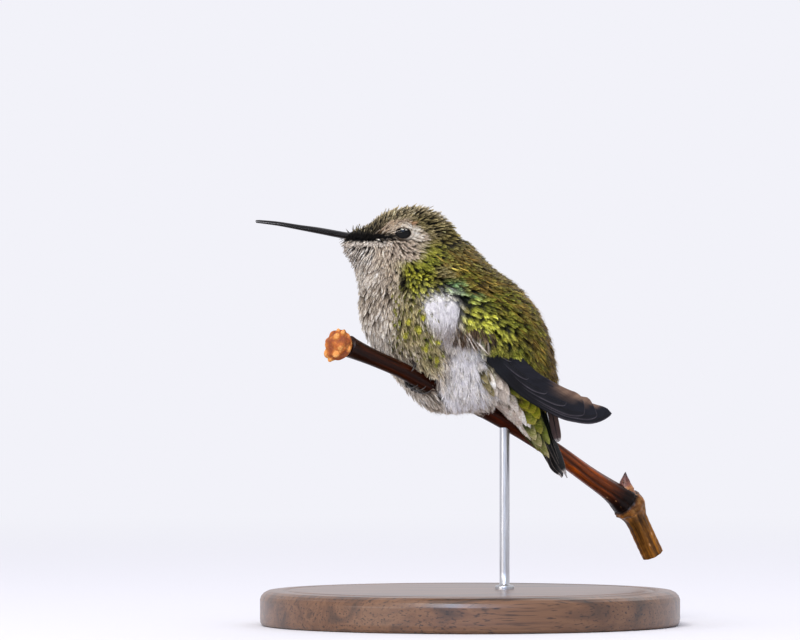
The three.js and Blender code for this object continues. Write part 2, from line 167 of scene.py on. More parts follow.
def pathFrame(path):
    # forward, side and up along a path
    tangent = unit(np.gradient(path, axis=0))
    side = unit(np.cross(tangent, [0.0, 0.0, 1.0]))
    return tangent, side, np.cross(side, tangent)


def tubeRings(path, radii, around):
    # round rings square to a path; radii: one for each ring, or one for each point
    _, side, up = pathFrame(path)
    angle = np.linspace(0, 2 * np.pi, around, endpoint=False)
    radii = np.asarray(radii, float).reshape(len(path), -1)
    return (path[:, None] + up[:, None] * (radii * np.cos(angle))[..., None]
            - side[:, None] * (radii * np.sin(angle))[..., None])


def addNode(tree, kind, settings=None, links=None):
    # adds a shader node, sets its values and joins its inputs; "stops" are the colours of a ramp,
    # and a node that is linked from stands for its first output
    node = tree.nodes.new("ShaderNode" + kind)
    for key, value in (settings or {}).items():
        if key == "stops":
            elements = node.color_ramp.elements
            while len(elements) < len(value):
                elements.new(0.5)
            for element, (place, colour) in zip(elements, value):
                element.position = place
                element.color = rgba(colour)
        elif key in node.inputs:
            node.inputs[key].default_value = value
        else:
            setattr(node, key, value)
    for key, source in (links or {}).items():
        tree.links.new(source.outputs[0] if hasattr(source, "outputs") else source, node.inputs[key])
    return node


def newMaterial(name, shader):
    material = bpy.data.materials.new(name)
    material.use_nodes = True
    tree = material.node_tree
    tree.nodes.clear()
    body = addNode(tree, "BsdfPrincipled", shader)
    addNode(tree, "OutputMaterial", None, {"Surface": body})
    return material, tree, body


def makeMaterial(name, shader, layers, paint="Paint", places=None):
    # each layer is a pattern with its size in mm, its stretch, its colour stops, and its relief as
    # strength and depth in mm; the colours multiply one another and the paint that the mesh carries
    material, tree, body = newMaterial(name, shader)
    colour = addNode(tree, "Attribute", {"attribute_name": paint}) if paint else None
    if places:
        spot, unitLength = addNode(tree, "Attribute", {"attribute_name": places}).outputs["Vector"], 1.0
    else:
        spot, unitLength = addNode(tree, "TexCoord").outputs["Object"], millimetre
    for layer in layers:
        scale = tuple(share / unitLength for share in layer.get("stretch", (1, 1, 1)))
        place = addNode(tree, "Mapping", {"Scale": scale}, {"Vector": spot})
        pattern = addNode(tree, "Tex" + layer["pattern"],
                          {"Scale": 1 / layer["size"], **layer.get("settings", {})}, {"Vector": place})
        height = pattern.outputs["Distance" if layer["pattern"] == "Voronoi" else "Fac"]
        shade = addNode(tree, "ValToRGB", {"stops": layer["stops"]}, {"Fac": height})
        if colour:
            shade = addNode(tree, "MixRGB", {"blend_type": "MULTIPLY", "Fac": 1.0},
                            {"Color1": colour, "Color2": shade})
        colour = shade
        if "relief" in layer:
            strength, depth = layer["relief"]
            bump = addNode(tree, "Bump", {"Strength": strength, "Distance": depth * millimetre},
                           {"Height": height})
            tree.links.new(bump.outputs["Normal"], body.inputs["Normal"])
    tree.links.new(colour.outputs["Color"], body.inputs["Base Color"])
    return material


def barbMaterial(name, look, shader):
    # keratin barbs: the paint of each feather, broken by a grain as fine as the barbs
    return makeMaterial(name, {"IOR": 1.54, **shader}, [
        {"pattern": "Noise", "size": look["grainWidth"], "settings": {"Detail": 3.0},
         "stops": [(0.3, look["dark"]), (0.7, "#ffffff")], "relief": (look["relief"], look["grainWidth"])}])


# loose barbs: matt, with no gloss of their own
bodyBarbs = barbMaterial("looseKeratinBarbs", {"grainWidth": 0.35, "dark": "#c9c2ba", "relief": 0.2},
                         {"Roughness": 0.75, "Specular IOR Level": 0.1})
# barbules that colour the light: a soft metallic shine that breaks up from feather to feather
sheenBarbs = barbMaterial("iridescentBarbules", {"grainWidth": 0.3, "dark": "#a8a48c", "relief": 0.5},
                          {"Roughness": 0.42, "Metallic": 0.35, "Specular IOR Level": 0.14})
# down: white threads that scatter light
downBarbs = barbMaterial("whiteDownThreads", {"grainWidth": 0.5, "dark": "#e4e2ea", "relief": 0.1},
                         {"Roughness": 0.85, "Specular IOR Level": 0.3, "Sheen Weight": 0.3,
                          "Sheen Roughness": 0.4})

view = {
    "azimuth": -14.0,      # degrees, toward the bird's head
    "distance": 1400.0,    # mm
    "frameWidth": 160.0,   # how much shows across the picture, at the bird
    "aimAcross": -14.0,
    "aimHeight": 61.0,
    "sensor": 36.0,
    "clip": (0.05, 60),    # metres
}


def setCamera():
    a = math.radians(view["azimuth"])
    back = Vector((math.sin(a), -math.cos(a), 0))
    right = Vector((math.cos(a), math.sin(a), 0))
    aim = right * view["aimAcross"] + Vector((0, 0, view["aimHeight"]))
    data = bpy.data.cameras.new("camera")
    data.sensor_width = view["sensor"]
    data.lens = view["sensor"] * view["distance"] / view["frameWidth"]
    data.clip_start, data.clip_end = view["clip"]
    camera = bpy.data.objects.new("camera", data)
    camera.location = (aim + back * view["distance"]) * millimetre
    camera.rotation_euler = back.to_track_quat("Z", "Y").to_euler()
    bpy.context.scene.collection.objects.link(camera)
    bpy.context.scene.camera = camera


studio = {
    "sky": "#f2f2f9",
    "skyStrength": 1.0,
    "floor": "#d2d2d9",
    "floorHalf": 12.0,       # metres
    "fadeFrom": 120.0,       # mm from the stand, where the floor begins to melt into the sky
    "fadeTo": 800.0,
    "grainWidth": 2.5,
    "lampAim": (0, 0, 0.06),
}
# name, place in metres, width and height in metres, watts, colour, lights matt surfaces too
lamps = [
    ("keyLamp", (-0.45, -0.6, 1.0), (0.6, 0.6), 10.0, "#fffaf2", True),
    ("backLamp", (0.6, 0.5, 0.8), (0.6, 0.6), 1.5, "#ffffff", True),
    ("fillLamp", (-1.1, -0.5, 0.12), (0.8, 0.8), 4.5, "#fff9f4", True),
    ("catchPanel", (-0.36, -1.17, 0.52), (0.9, 0.55), 8.0, "#a9c3ea", False),
    ("catchSpot", (-0.5, -1.1, 0.72), (0.15, 0.12), 5.0, "#d4e2ff", False),
]


def setSky():
    scene = bpy.context.scene
    scene.view_settings.view_transform = "Standard"
    world = bpy.data.worlds.new("overcastSky")
    world.use_nodes = True
    scene.world = world
    background = world.node_tree.nodes["Background"]
    background.inputs["Color"].default_value = rgba(studio["sky"])
    background.inputs["Strength"].default_value = studio["skyStrength"]


def makeFloor():
    half = studio["floorHalf"]
    corners = [(-half, -half, 0), (half, -half, 0), (half, half, 0), (-half, half, 0)]
    mesh = bpy.data.meshes.new("floor")
    mesh.from_pydata(corners, [], [(0, 1, 2, 3)])
    floor = bpy.data.objects.new("floor", mesh)
    bpy.context.scene.collection.objects.link(floor)
    # matt painted board, no gloss; far away it melts into the sky
    material, tree, body = newMaterial("mattPaintedBoard", {
        "Base Color": rgba(studio["floor"]), "Roughness": 0.9})
    spot = addNode(tree, "TexCoord").outputs["Object"]
    scale = (1 / millimetre,) * 3
    place = addNode(tree, "Mapping", {"Scale": scale}, {"Vector": spot})
    grain = addNode(tree, "TexNoise", {"Scale": 1 / studio["grainWidth"], "Detail": 4.0},
                    {"Vector": place})
    bump = addNode(tree, "Bump", {"Strength": 0.03, "Distance": 0.2 * millimetre},
                   {"Height": grain})
    tree.links.new(bump.outputs["Normal"], body.inputs["Normal"])
    away = addNode(tree, "VectorMath", {"operation": "LENGTH"}, {0: place})
    fade = addNode(tree, "MapRange", {
        "interpolation_type": "SMOOTHSTEP", "From Min": studio["fadeFrom"], "From Max": studio["fadeTo"],
    }, {"Value": away.outputs["Value"]})
    glow = addNode(tree, "Emission", {
        "Color": rgba(studio["sky"]), "Strength": studio["skyStrength"]})
    both = addNode(tree, "MixShader", None, {0: fade, 1: body, 2: glow})
    output = [node for node in tree.nodes if node.type == "OUTPUT_MATERIAL"][0]
    tree.links.new(both.outputs["Shader"], output.inputs["Surface"])
    mesh.materials.append(material)


def hangLamps():
    for name, place, size, power, colour, onMatt in lamps:
        data = bpy.data.lights.new(name, "AREA")
        data.shape = "ELLIPSE"
        data.size, data.size_y = size
        data.energy = power
        data.color = rgba(colour)[:3]
        lamp = bpy.data.objects.new(name, data)
        lamp.visible_diffuse = onMatt
        lamp.location = place
        toward = Vector(studio["lampAim"]) - Vector(place)
        lamp.rotation_euler = toward.to_track_quat("-Z", "Y").to_euler()
        bpy.context.scene.collection.objects.link(lamp)


setCamera()
setSky()
makeFloor()
hangLamps()
print("camera, floor and light are set")


# rows from the forehead to the tail: point on the back (x, z), point on the belly (x, z), half
# width, how much wider the ring is above than below, how far it is moved sideways
bodyRows = [
    (-25.8, 78.3, -26, 77.3, 0.5, 0, 0),
    (-24.2, 79.2, -25.7, 75.6, 1.9, 0, 0),
    (-21.4, 80.3, -24.5, 73.2, 3.7, 0.05, 0),
    (-18.1, 82.4, -23.5, 70.8, 5.7, 0.08, 0),
    (-14, 83.7, -22.6, 67.8, 7.1, 0.06, 0),
    (-9.5, 83.7, -22.5, 65, 7.8, 0.02, 0),
    (-5.4, 81.8, -22.3, 62.2, 9.1, -0.02, 0),
    (-1.6, 77.8, -21.4, 59, 10.4, -0.06, 0),
    (3.3, 72.4, -19.2, 55, 11.6, 0, 0),
    (8.5, 68.4, -15, 49.4, 12, 0.12, 0),
    (12.6, 64, -10.7, 44.8, 12, 0.16, 0),
    (15.5, 58.8, -5.8, 42.8, 11, -0.05, 0),
    (17.1, 53.6, -0.4, 43, 9.2, -0.18, 0),
    (17.7, 49, 4.5, 42, 7, -0.1, -0.2),
    (17.9, 45, 8.5, 39.6, 5.3, 0, -0.5),
    (17.9, 41, 11.7, 36.6, 4.9, 0.1, -0.9),
    (17.9, 37.4, 14.6, 34.4, 4.5, 0.1, -1.1),
    (18.5, 34.2, 16.6, 33, 3.8, 0.1, -1.2),
]
# edges of the folded arm from the side (x, z)
armLow = np.array([(-17.0, 66.6), (-15.2, 62.6), (-11.4, 58.8), (-5.2, 55.4), (0.0, 54.0), (4.0, 53.0),
                   (8, 51), (12, 49)])
armHigh = np.array([(-16.8, 69.6), (-15.3, 71.4), (-10.3, 71.8), (-4.0, 69.6), (2.6, 64.5), (8.0, 59.0),
                    (12, 55)])
armRise = 1.2    # mm that the folded arm stands out of the side


def armShare(x, z):
    # 1 where the folded arm lies under the coat, 0 outside its outline from the side
    low, high = np.interp(x, *armLow.T), np.interp(x, *armHigh.T)
    share = smooth(0.0, 2.0, z - low) * smooth(0.0, 2.4, high - z) * smooth(-16.6, -15.9, x)
    return share * (1 - 0.45 * smooth(-2.0, 4.0, x)) * smooth(12.5, 8.5, x)


def bodyAt(t, theta):
    # t counts rows from the bill; theta is 0 on the back, 90 degrees on the right side
    q = spline(bodyRows, t)
    c = np.cos(theta)
    share = (1 + c) / 2
    x = q[..., 2] + (q[..., 0] - q[..., 2]) * share
    z = q[..., 3] + (q[..., 1] - q[..., 3]) * share
    y = q[..., 6] + q[..., 4] * np.sin(theta) * (1 + q[..., 5] * c)
    y = y + np.clip(y / 4, -1, 1) * armRise * armShare(x, z)
    return np.stack([x, y, z], -1)


wrist = (-15.2, 62.6)
rightWingTurn = math.radians(-2.5)


def toRightWing(points):
    # the right wing is the left one mirrored and turned up a little about the wrist
    c, s = math.cos(rightWingTurn), math.sin(rightWingTurn)
    x, z = points[..., 0] - wrist[0], points[..., 2] - wrist[1]
    return np.stack([wrist[0] + x * c + z * s, -points[..., 1], wrist[1] - x * s + z * c], -1)


bodyLast = len(bodyRows) - 1


def surfaceFrame(t, theta):
    # place, the two slopes and the outward normal
    step = 0.02
    t = np.clip(t, step, bodyLast - step)
    lengthwise = (bodyAt(t + step, theta) - bodyAt(t - step, theta)) / (2 * step)
    roundwise = (bodyAt(t, theta + step) - bodyAt(t, theta - step)) / (2 * step)
    return bodyAt(t, theta), lengthwise, roundwise, unit(np.cross(lengthwise, roundwise))


def fromBack(theta):
    # degrees from the back line, 0 to 180, alike on both sides
    turned = np.degrees(np.mod(theta, 2 * np.pi))
    return np.where(turned > 180, 360 - turned, turned)


# middle line of the twig (x, y, z) and its radius, from the old cut end over the node to the stem
twigRows = [
    (-27.9, -11.9, 55.8, 2.2),
    (-26.2, -11.1, 55.1, 1.95),
    (-21.9, -9.35, 53.4, 1.65),
    (-16.2, -6.9, 51.2, 1.6),
    (-10.7, -4.6, 48.7, 1.65),
    (0, -0.2, 44.6, 1.8),
    (8, 3.2, 41, 1.9),
    (13.8, 5.6, 38, 1.85),
    (20.7, 8.5, 34, 1.75),
    (27.6, 11.4, 29.6, 1.8),
    (33.6, 14, 26, 2.2),
    (37.3, 15.5, 23.4, 3.2),
    (39.2, 16.3, 20.6, 2.3),
    (41.2, 17.2, 16.9, 2.2),
    (43.2, 18, 13.2, 2.2),
]
twigFine = spline(twigRows, np.linspace(0, len(twigRows) - 1, 400))
twigSlope = (0.9, 0.37, -0.37)

eye = {
    "centre": (-15.2, -5.6, 78.4),
    "radius": 2.2,
    "axis": (-0.25, -0.965, -0.08),
    "halfWide": math.radians(35),    # opening between the lids, seen from the eye's middle
    "halfHigh": math.radians(23.5),
    "reach": 4.5,                    # openings out to which the coat is kept off the eyeball
    "rings": 56, "around": 64,
    "pupil": "#040405", "iris": "#0b0807",
}


def columnsAt(table, x):
    # every column of a table at places along its first one
    return np.stack([np.interp(x, table[:, 0], column) for column in table.T], -1)


def twigNear(points):
    # the twig's middle and radius beside each point
    q = columnsAt(twigFine, points[..., 0])
    return q[..., :3], q[..., 3]


def clearOfTwig(points, gap):
    # pushes points out of the twig
    middle, radius = twigNear(points)
    away = points - middle
    slope = unit(np.array(twigSlope))
    away = away - slope * dot(away, slope)[..., None]
    distance = np.linalg.norm(away, axis=-1)
    push = np.maximum(radius + gap - distance, 0) * (points[..., 2] < 62) * (points[..., 0] < 40)
    return points + unit(away) * push[..., None]


def squareTo(axis):
    # the axis at length one, a level direction square to it, and a third square to both
    axis = unit(np.asarray(axis))
    flat = unit(np.cross([0, 0, 1.0], axis))
    return axis, flat, np.cross(axis, flat)


def awayFrom(axis, turn, bearing):
    # directions turned away from an axis, at bearings round it
    axis, flat, high = squareTo(axis)
    turn, bearing = turn[..., None], bearing[..., None]
    return axis * np.cos(turn) + (flat * np.cos(bearing) + high * np.sin(bearing)) * np.sin(turn)


def lidEdge(bearing):
    # angle from the eye's axis to the edge of its opening
    return 1 / np.hypot(np.cos(bearing) / eye["halfWide"], np.sin(bearing) / eye["halfHigh"])


def eyeMiddle(points):
    # the middle of the eye on each point's own side
    return np.array(eye["centre"]) * np.where(points[..., 1:2] > 0, [1, -1, 1], [1, 1, 1])


def eyeShare(points):
    # 1 on the edge of the eye's opening, less inside; and the distance from the eye's middle
    sides = np.where(points[..., 1] > 0, -1.0, 1.0)
    v = points * np.stack([np.ones_like(sides), sides, np.ones_like(sides)], -1) - np.array(eye["centre"])
    axis, flat, high = squareTo(eye["axis"])
    distance = np.linalg.norm(v, axis=-1)
    turn = np.arccos(np.clip(dot(v, axis) / np.maximum(distance, 1e-6), -1, 1))
    return turn / lidEdge(np.arctan2(dot(v, high), dot(v, flat))), distance


def clearOfEyes(points, gap):
    # keeps points outside the eyeballs
    share, distance = eyeShare(points)
    need = np.maximum(eye["radius"] + gap - distance, 0) * (share < eye["reach"])
    return points + unit(points - eyeMiddle(points)) * need[..., None]


# what shows of the folded flight feathers from the side (x, z)
bladeOutline = np.array([
    (0.3, 54.2), (4, 54.2), (7.6, 53.6), (11.7, 51.2), (15.2, 47.8), (20, 45.6),
    (27, 42), (24, 40.6), (16, 41), (11.7, 43), (7.6, 45.5), (3.4, 48.8), (1.2, 51.2),
])


def insideOutline(x, z, outline):
    inside = np.zeros(x.shape, bool)
    for (x0, z0), (x1, z1) in zip(outline, np.roll(outline, -1, axis=0)):
        crosses = (z0 > z) != (z1 > z)
        inside ^= crosses & (x < (x1 - x0) * (z - z0) / (z1 - z0 + 1e-9) + x0)
    return inside


def blocked(points, spread):
    # where a feather would hide the eye, the gripped twig or the long wing feathers
    share, distance = eyeShare(points)
    overEye = (share < 1.16 + 0.08 * spread) & (distance < 4)
    middle, radius = twigNear(points)
    up = (points[..., 2] - middle[..., 2]) * 0.92
    shown = smooth(-7.0, -9.5, points[..., 0] + 1.5 * spread) > 0.5
    overTwig = (shown & (np.abs(up) < radius * (0.75 + 0.3 * spread))
                & (points[..., 1] < middle[..., 1] + 1.2))
    overWing = insideOutline(points[..., 0] + 0.7 * spread, points[..., 2] + 0.5 * spread, bladeOutline)
    return overEye | overTwig | (overWing & (np.abs(points[..., 1]) > 6.5) & (points[..., 0] < 14.5))


# markings, shared by the skin and the coat
# each tone: root of the feather, mostly dark, partly its own base and partly painted shade in the gaps
# between feathers; its open part; its fringe
tones = {
    "greyBeige": ("#2c241b", "#a99882", "#f3e8da"),
    "oliveBeige": ("#241f0b", "#8a8048", "#d6c996"),
    "cream": ("#84786b", "#e2d7ca", "#fdf7ee"),
    "throat": ("#0b0705", "#fbf3ea", "#93857a"),
    "cheek": ("#4a3f34", "#bbab9b", "#f2e6da"),
    "blackMaskAndShade": ("#030202", "#080605", "#15110d"),
    "brow": ("#5f4c38", "#b09a82", "#dcc9b4"),
    "rufous": ("#5a3c25", "#a06c42", "#c79a74"),
    "creamPatch": ("#f6ecdc", "#fffaf0", "#ffffff"),
    "crown": ("#060502", "#403a1e", "#c8ba98"),
    "nape": ("#120f05", "#696130", "#a89b62"),
    "bronze": ("#0b0702", "#6b5526", "#ab8e4c"),
    "green": ("#0a0c02", "#7c8426", "#b4b448"),
    "yellowGreen": ("#15170a", "#c8ca34", "#e2de74"),
    "teal": ("#050805", "#4a8a58", "#a4c08c"),
    "white": ("#c6c4ca", "#f6f5fa", "#ffffff"),
    "brownHair": ("#17120e", "#5d4e42", "#a39284"),
    "olivePatch": ("#38331c", "#7d7550", "#aca47e"),
}
tones = {name: [linear(c) for c in colours] for name, colours in tones.items()}

# where the green upper side begins: behind the face and down the flank (z, x), over the face (x, z)
flankLine = np.array([
    (36, 12.2), (40, 10), (44.5, 7.6), (47.5, 5.2), (50, 3), (53, 0.8), (55, -1.5), (57, -3.6),
    (60, -5.4), (63.5, -4.8), (65.6, -7), (66.2, -13), (66.6, -16), (70.6, -16.3), (72.2, -15.3),
    (73.2, -12.5), (75, -10), (77, -10.8), (77.5, 30),
])
faceLine = np.array([
    (-26, 77.9), (-21, 78.3), (-19.6, 79.3), (-18, 80.4), (-16, 81.2), (-13.8, 81), (-12.4, 80),
    (-11.2, 78.6), (-10, 77.2), (-9, 75.5),
])

# soft spots: tone, x, z, half length along x, half height along z, strength
spots = [
    ("cream", -20.6, 58.4, 3.6, 5.4, 0.95),
    ("cream", -11.5, 46.5, 7, 2.6, 0.9),
    ("cream", 3.6, 46.5, 3, 4, 0.9),
    ("throat", -23.7, 73.6, 3.1, 3.9, 1),
    ("cream", -21.6, 68.4, 2.4, 2.8, 0.95),
    ("cheek", -16.5, 74.6, 4.2, 2.2, 1),
    ("oliveBeige", -13.6, 60.5, 3.9, 5.6, 0.9),
    ("oliveBeige", -10.2, 53.6, 2.4, 3.8, 0.8),
    ("olivePatch", -10.6, 54.4, 2, 2.8, 0.4),
    ("green", -13.2, 71.6, 3.8, 1.1, 0.6),
    ("nape", -9, 81, 4, 2.5, 0.6),
    ("green", -9, 74.2, 3.2, 2, 0.6),
    ("yellowGreen", -13.1, 68.3, 3, 2.4, 1),
    # painted shade: the dark lower edge of the wing bend, the dark crease in front of it, and the dark gap
    # between it and the teal patch
    ("blackMaskAndShade", -13.4, 65.9, 2, 0.5, 0.45),
    ("blackMaskAndShade", -16.2, 68.2, 0.55, 1.8, 1),
    ("blackMaskAndShade", -9.2, 67.6, 1.1, 1.4, 0.95),
    ("brownHair", -7.6, 70.5, 2.4, 1.3, 0.6),
    ("oliveBeige", -7.4, 70.8, 2.2, 1.2, 0.5),
    ("teal", -5.8, 67.5, 2, 1.6, 0.85),
    ("teal", -2.4, 65.1, 2.2, 1.1, 0.9),
    ("yellowGreen", -1.7, 64.5, 1.8, 1, 0.65),
    ("green", -1.2, 63.2, 1.5, 1.1, 0.9),
    ("blackMaskAndShade", -4.6, 65.4, 0.7, 0.8, 0.4),
    ("yellowGreen", -2.7, 61.2, 2.1, 1.8, 0.95),
    ("yellowGreen", 0.4, 60, 3.2, 2.2, 1),
    ("yellowGreen", 3.6, 57.4, 2.2, 1.7, 0.7),
    ("yellowGreen", 6.8, 53.5, 1.2, 1, 0.5),
    ("blackMaskAndShade", 15.6, 54, 2.2, 7, 0.22),
    ("blackMaskAndShade", -21.6, 80.3, 3, 1.5, 0.6),
    ("green", 5.8, 60.6, 2.8, 2.6, 0.6),
    ("brownHair", -4.3, 57.4, 2.8, 1.3, 0.9),
    ("white", -8.8, 63, 3.6, 3.6, 1),
    ("white", -3.6, 50, 3.4, 6, 1),
    ("olivePatch", 0.9, 49.6, 1.2, 1.9, 1),
    ("brow", -18.9, 79.3, 1, 0.5, 0.9),
    ("brow", -16.8, 80.5, 1.8, 0.5, 0.95),
    ("brow", -14.2, 80.6, 1.2, 0.45, 0.8),
    ("rufous", -13, 80.2, 0.7, 0.45, 0.6),
    ("creamPatch", -13.4, 78.3, 1.5, 1.2, 1),
    ("creamPatch", -12.5, 77.4, 1, 0.6, 0.35),
    ("creamPatch", -20.2, 76.5, 1.6, 0.35, 0.45),
    ("blackMaskAndShade", -19.1, 77.35, 2, 0.55, 1),
    ("blackMaskAndShade", -17.8, 77.8, 0.8, 0.35, 0.9),
    # painted shadow of the bill along the gape
    ("blackMaskAndShade", -23, 77.5, 2.6, 0.35, 0.95),
]


def upperSide(points):
    # 1 on the crown, back and rump, 0 on the face, breast and belly
    x, z = points[..., 0], points[..., 2]
    stir = 0.5 * wobble(points, 0.45, 1.0)
    low = smooth(-0.9, 0.9, x - np.interp(z, *flankLine.T) + stir)
    high = smooth(-0.4, 0.4, z - np.interp(x, *faceLine.T) + 0.4 * stir)
    return np.maximum(low, high)


def markings(points):
    # the root, open and fringe colours of the feathers at these places
    x, y, z = points[..., 0], np.abs(points[..., 1]), points[..., 2]
    stir = wobble(points, 0.45, 1.0)
    upper = upperSide(points)
    head = smooth(75.5, 79.5, z + 0.6 * (-9.0 - x))
    spine = smooth(7.0, 3.5, y + 1.2 * stir)
    outside = smooth(3.0, 5.0, y)
    colours = []
    for part in range(3):
        tone = {name: values[part] for name, values in tones.items()}
        above = mix(tone["green"], tone["bronze"], np.clip(0.3 + 0.6 * stir + spine, 0, 1))
        above = mix(above, tone["nape"], smooth(68.0, 73.0, z + 0.4 * x))
        above = mix(above, tone["crown"], head)
        colour = mix(tone["greyBeige"], above, upper)
        for name, x0, z0, dx, dz, strength in spots:
            near = np.exp(-((x - x0) / dx) ** 4 - ((z - z0) / dz) ** 4)
            side = 1.0 if x0 < -20 or z0 < 47 else outside
            colour = mix(colour, tone[name], strength * near * side)
        colours.append(colour)
    return colours


# place on the bird's side (x, z) and the way that its feathers lie there (x, z)
lieRows = np.array([
    (-24, 78.9, 0.55, 0.75), (-20, 80, 0.45, 0.85), (-16.5, 82.5, 0.75, 0.6),
    (-12, 83.4, 0.95, 0.2), (-8, 82.6, 0.9, -0.3), (-5, 79.8, 0.75, -0.65),
    (-3, 76.5, 0.68, -0.73), (-15, 81, 0.85, 0.3), (-11.5, 78.5, 0.95, -0.15),
    (-9.5, 75.8, 0.88, -0.45), (-20.5, 78.4, 0.6, 0.5), (-21, 76, -0.55, -0.82),
    (-25.3, 76, -0.8, -0.6), (-23.8, 73, -0.62, -0.78), (-22.5, 69.5, -0.45, -0.9),
    (-20.5, 73, -0.42, -0.9), (-18.5, 75.3, 0.15, -1), (-15.5, 75.2, 0.6, -0.75),
    (-12.5, 73.5, 0.75, -0.6), (-9, 71.5, 0.75, -0.65), (-18.5, 71, 0.1, -1),
    (-21.5, 66, -0.1, -1), (-21, 59, 0.12, -1), (-17, 65, 0.25, -0.97),
    (-14.5, 60, 0.42, -0.9), (-13, 55, 0.55, -0.83), (-13, 68, 0.45, -0.88),
    (-17, 54, 0.5, -0.86), (-10, 46, 0.75, -0.6), (-8, 62, 0.15, -1),
    (-6, 52, 0.05, -1), (-1, 50, 0.35, -0.95), (-3, 45.5, 0.35, -0.95),
    (4, 46, 0.55, -0.83), (0, 70, 0.72, -0.7), (6, 63, 0.62, -0.78),
    (12, 56, 0.4, -0.9), (15.5, 50, 0.2, -1), (0, 58, 0.35, -0.94),
    (8, 53, 0.4, -0.92), (-3, 66, 0.7, -0.7), (12, 42, 0.5, -0.85),
    (16, 40, 0.3, -0.95),
])
lieReach = 2.8    # mm over which one row of the table gives way to the next


def alongSide(x, z):
    # directions in the plane of the bird's side
    x, z = np.broadcast_arrays(x, z)
    return unit(np.stack([x, np.zeros_like(x), z], -1))


def lieAt(points, turn):
    # the way the coat lies, turned by a small angle
    dx = points[..., 0:1] - lieRows[:, 0]
    dz = points[..., 2:3] - lieRows[:, 1]
    weight = np.exp(-(dx ** 2 + dz ** 2) / (2 * lieReach ** 2)) + 1e-7
    way = (weight[..., None] * lieRows[:, 2:]).sum(-2)
    c, s = np.cos(turn), np.sin(turn)
    return alongSide(way[..., 0] * c - way[..., 1] * s, way[..., 0] * s + way[..., 1] * c)


def walk(t, theta, way, length, stations):
    # follows the body from each root at equal steps; gives places, ways, sides and normals
    t, theta = t.copy(), theta.copy()
    step = length / (stations - 1)
    found = []
    for _ in range(stations):
        place, lengthwise, roundwise, normal = surfaceFrame(t, theta)
        flat = unit(way - normal * dot(way, normal)[..., None])
        found.append((place, flat, np.cross(normal, flat), normal))
        a, b, c = dot(lengthwise, lengthwise), dot(lengthwise, roundwise), dot(roundwise, roundwise)
        p, q = dot(lengthwise, flat), dot(roundwise, flat)
        spread = a * c - b * b + 1e-6
        t = np.clip(t + (c * p - b * q) / spread * step, 0.05, bodyLast - 0.05)
        theta = theta + (a * q - b * p) / spread * step
    return [np.stack(column, 1) for column in zip(*found)]


def apart(first, second):
    # the square of the distance
    x, y, z = first - second
    return x * x + y * y + z * z


def scatter(tRange, spacing, chance, tries=150000):
    # roots at least a spacing apart, thinned by chance; both may be functions of the places
    t = rng.uniform(*tRange, tries)
    theta = rng.uniform(0, 2 * np.pi, tries)
    place, lengthwise, roundwise, _ = surfaceFrame(t, theta)
    area = np.linalg.norm(np.cross(lengthwise, roundwise), axis=-1)
    keep = rng.uniform(0, 1, tries) < area / np.percentile(area, 99)    # even over the surface
    keep &= rng.uniform(0, 1, tries) < chance(place, fromBack(theta))
    t, theta, place = t[keep], theta[keep], place[keep]
    gap = np.broadcast_to(spacing(place) if callable(spacing) else spacing, t.shape)
    cell = float(gap.max())
    keys = np.floor(place / cell).astype(int)
    cells = {}
    kept = []
    offsets = [(i, j, k) for i in (-1, 0, 1) for j in (-1, 0, 1) for k in (-1, 0, 1)]
    for index, (i, j, k) in enumerate(keys.tolist()):
        near = (other for di, dj, dk in offsets for other in cells.get((i + di, j + dj, k + dk), ()))
        if all(apart(place[index], place[other]) >= gap[index] * gap[index] for other in near):
            cells.setdefault((i, j, k), []).append(index)
            kept.append(index)
    return t[kept], theta[kept]


def outline(s, style):
    # half width of a feather along its length, 1 at its widest
    swell = np.clip(s / style["widest"], 0, 1) ** 0.6
    return swell * np.clip(1 - np.clip(s, 0, 1) ** style["bluntness"], 0, 1) ** 0.5


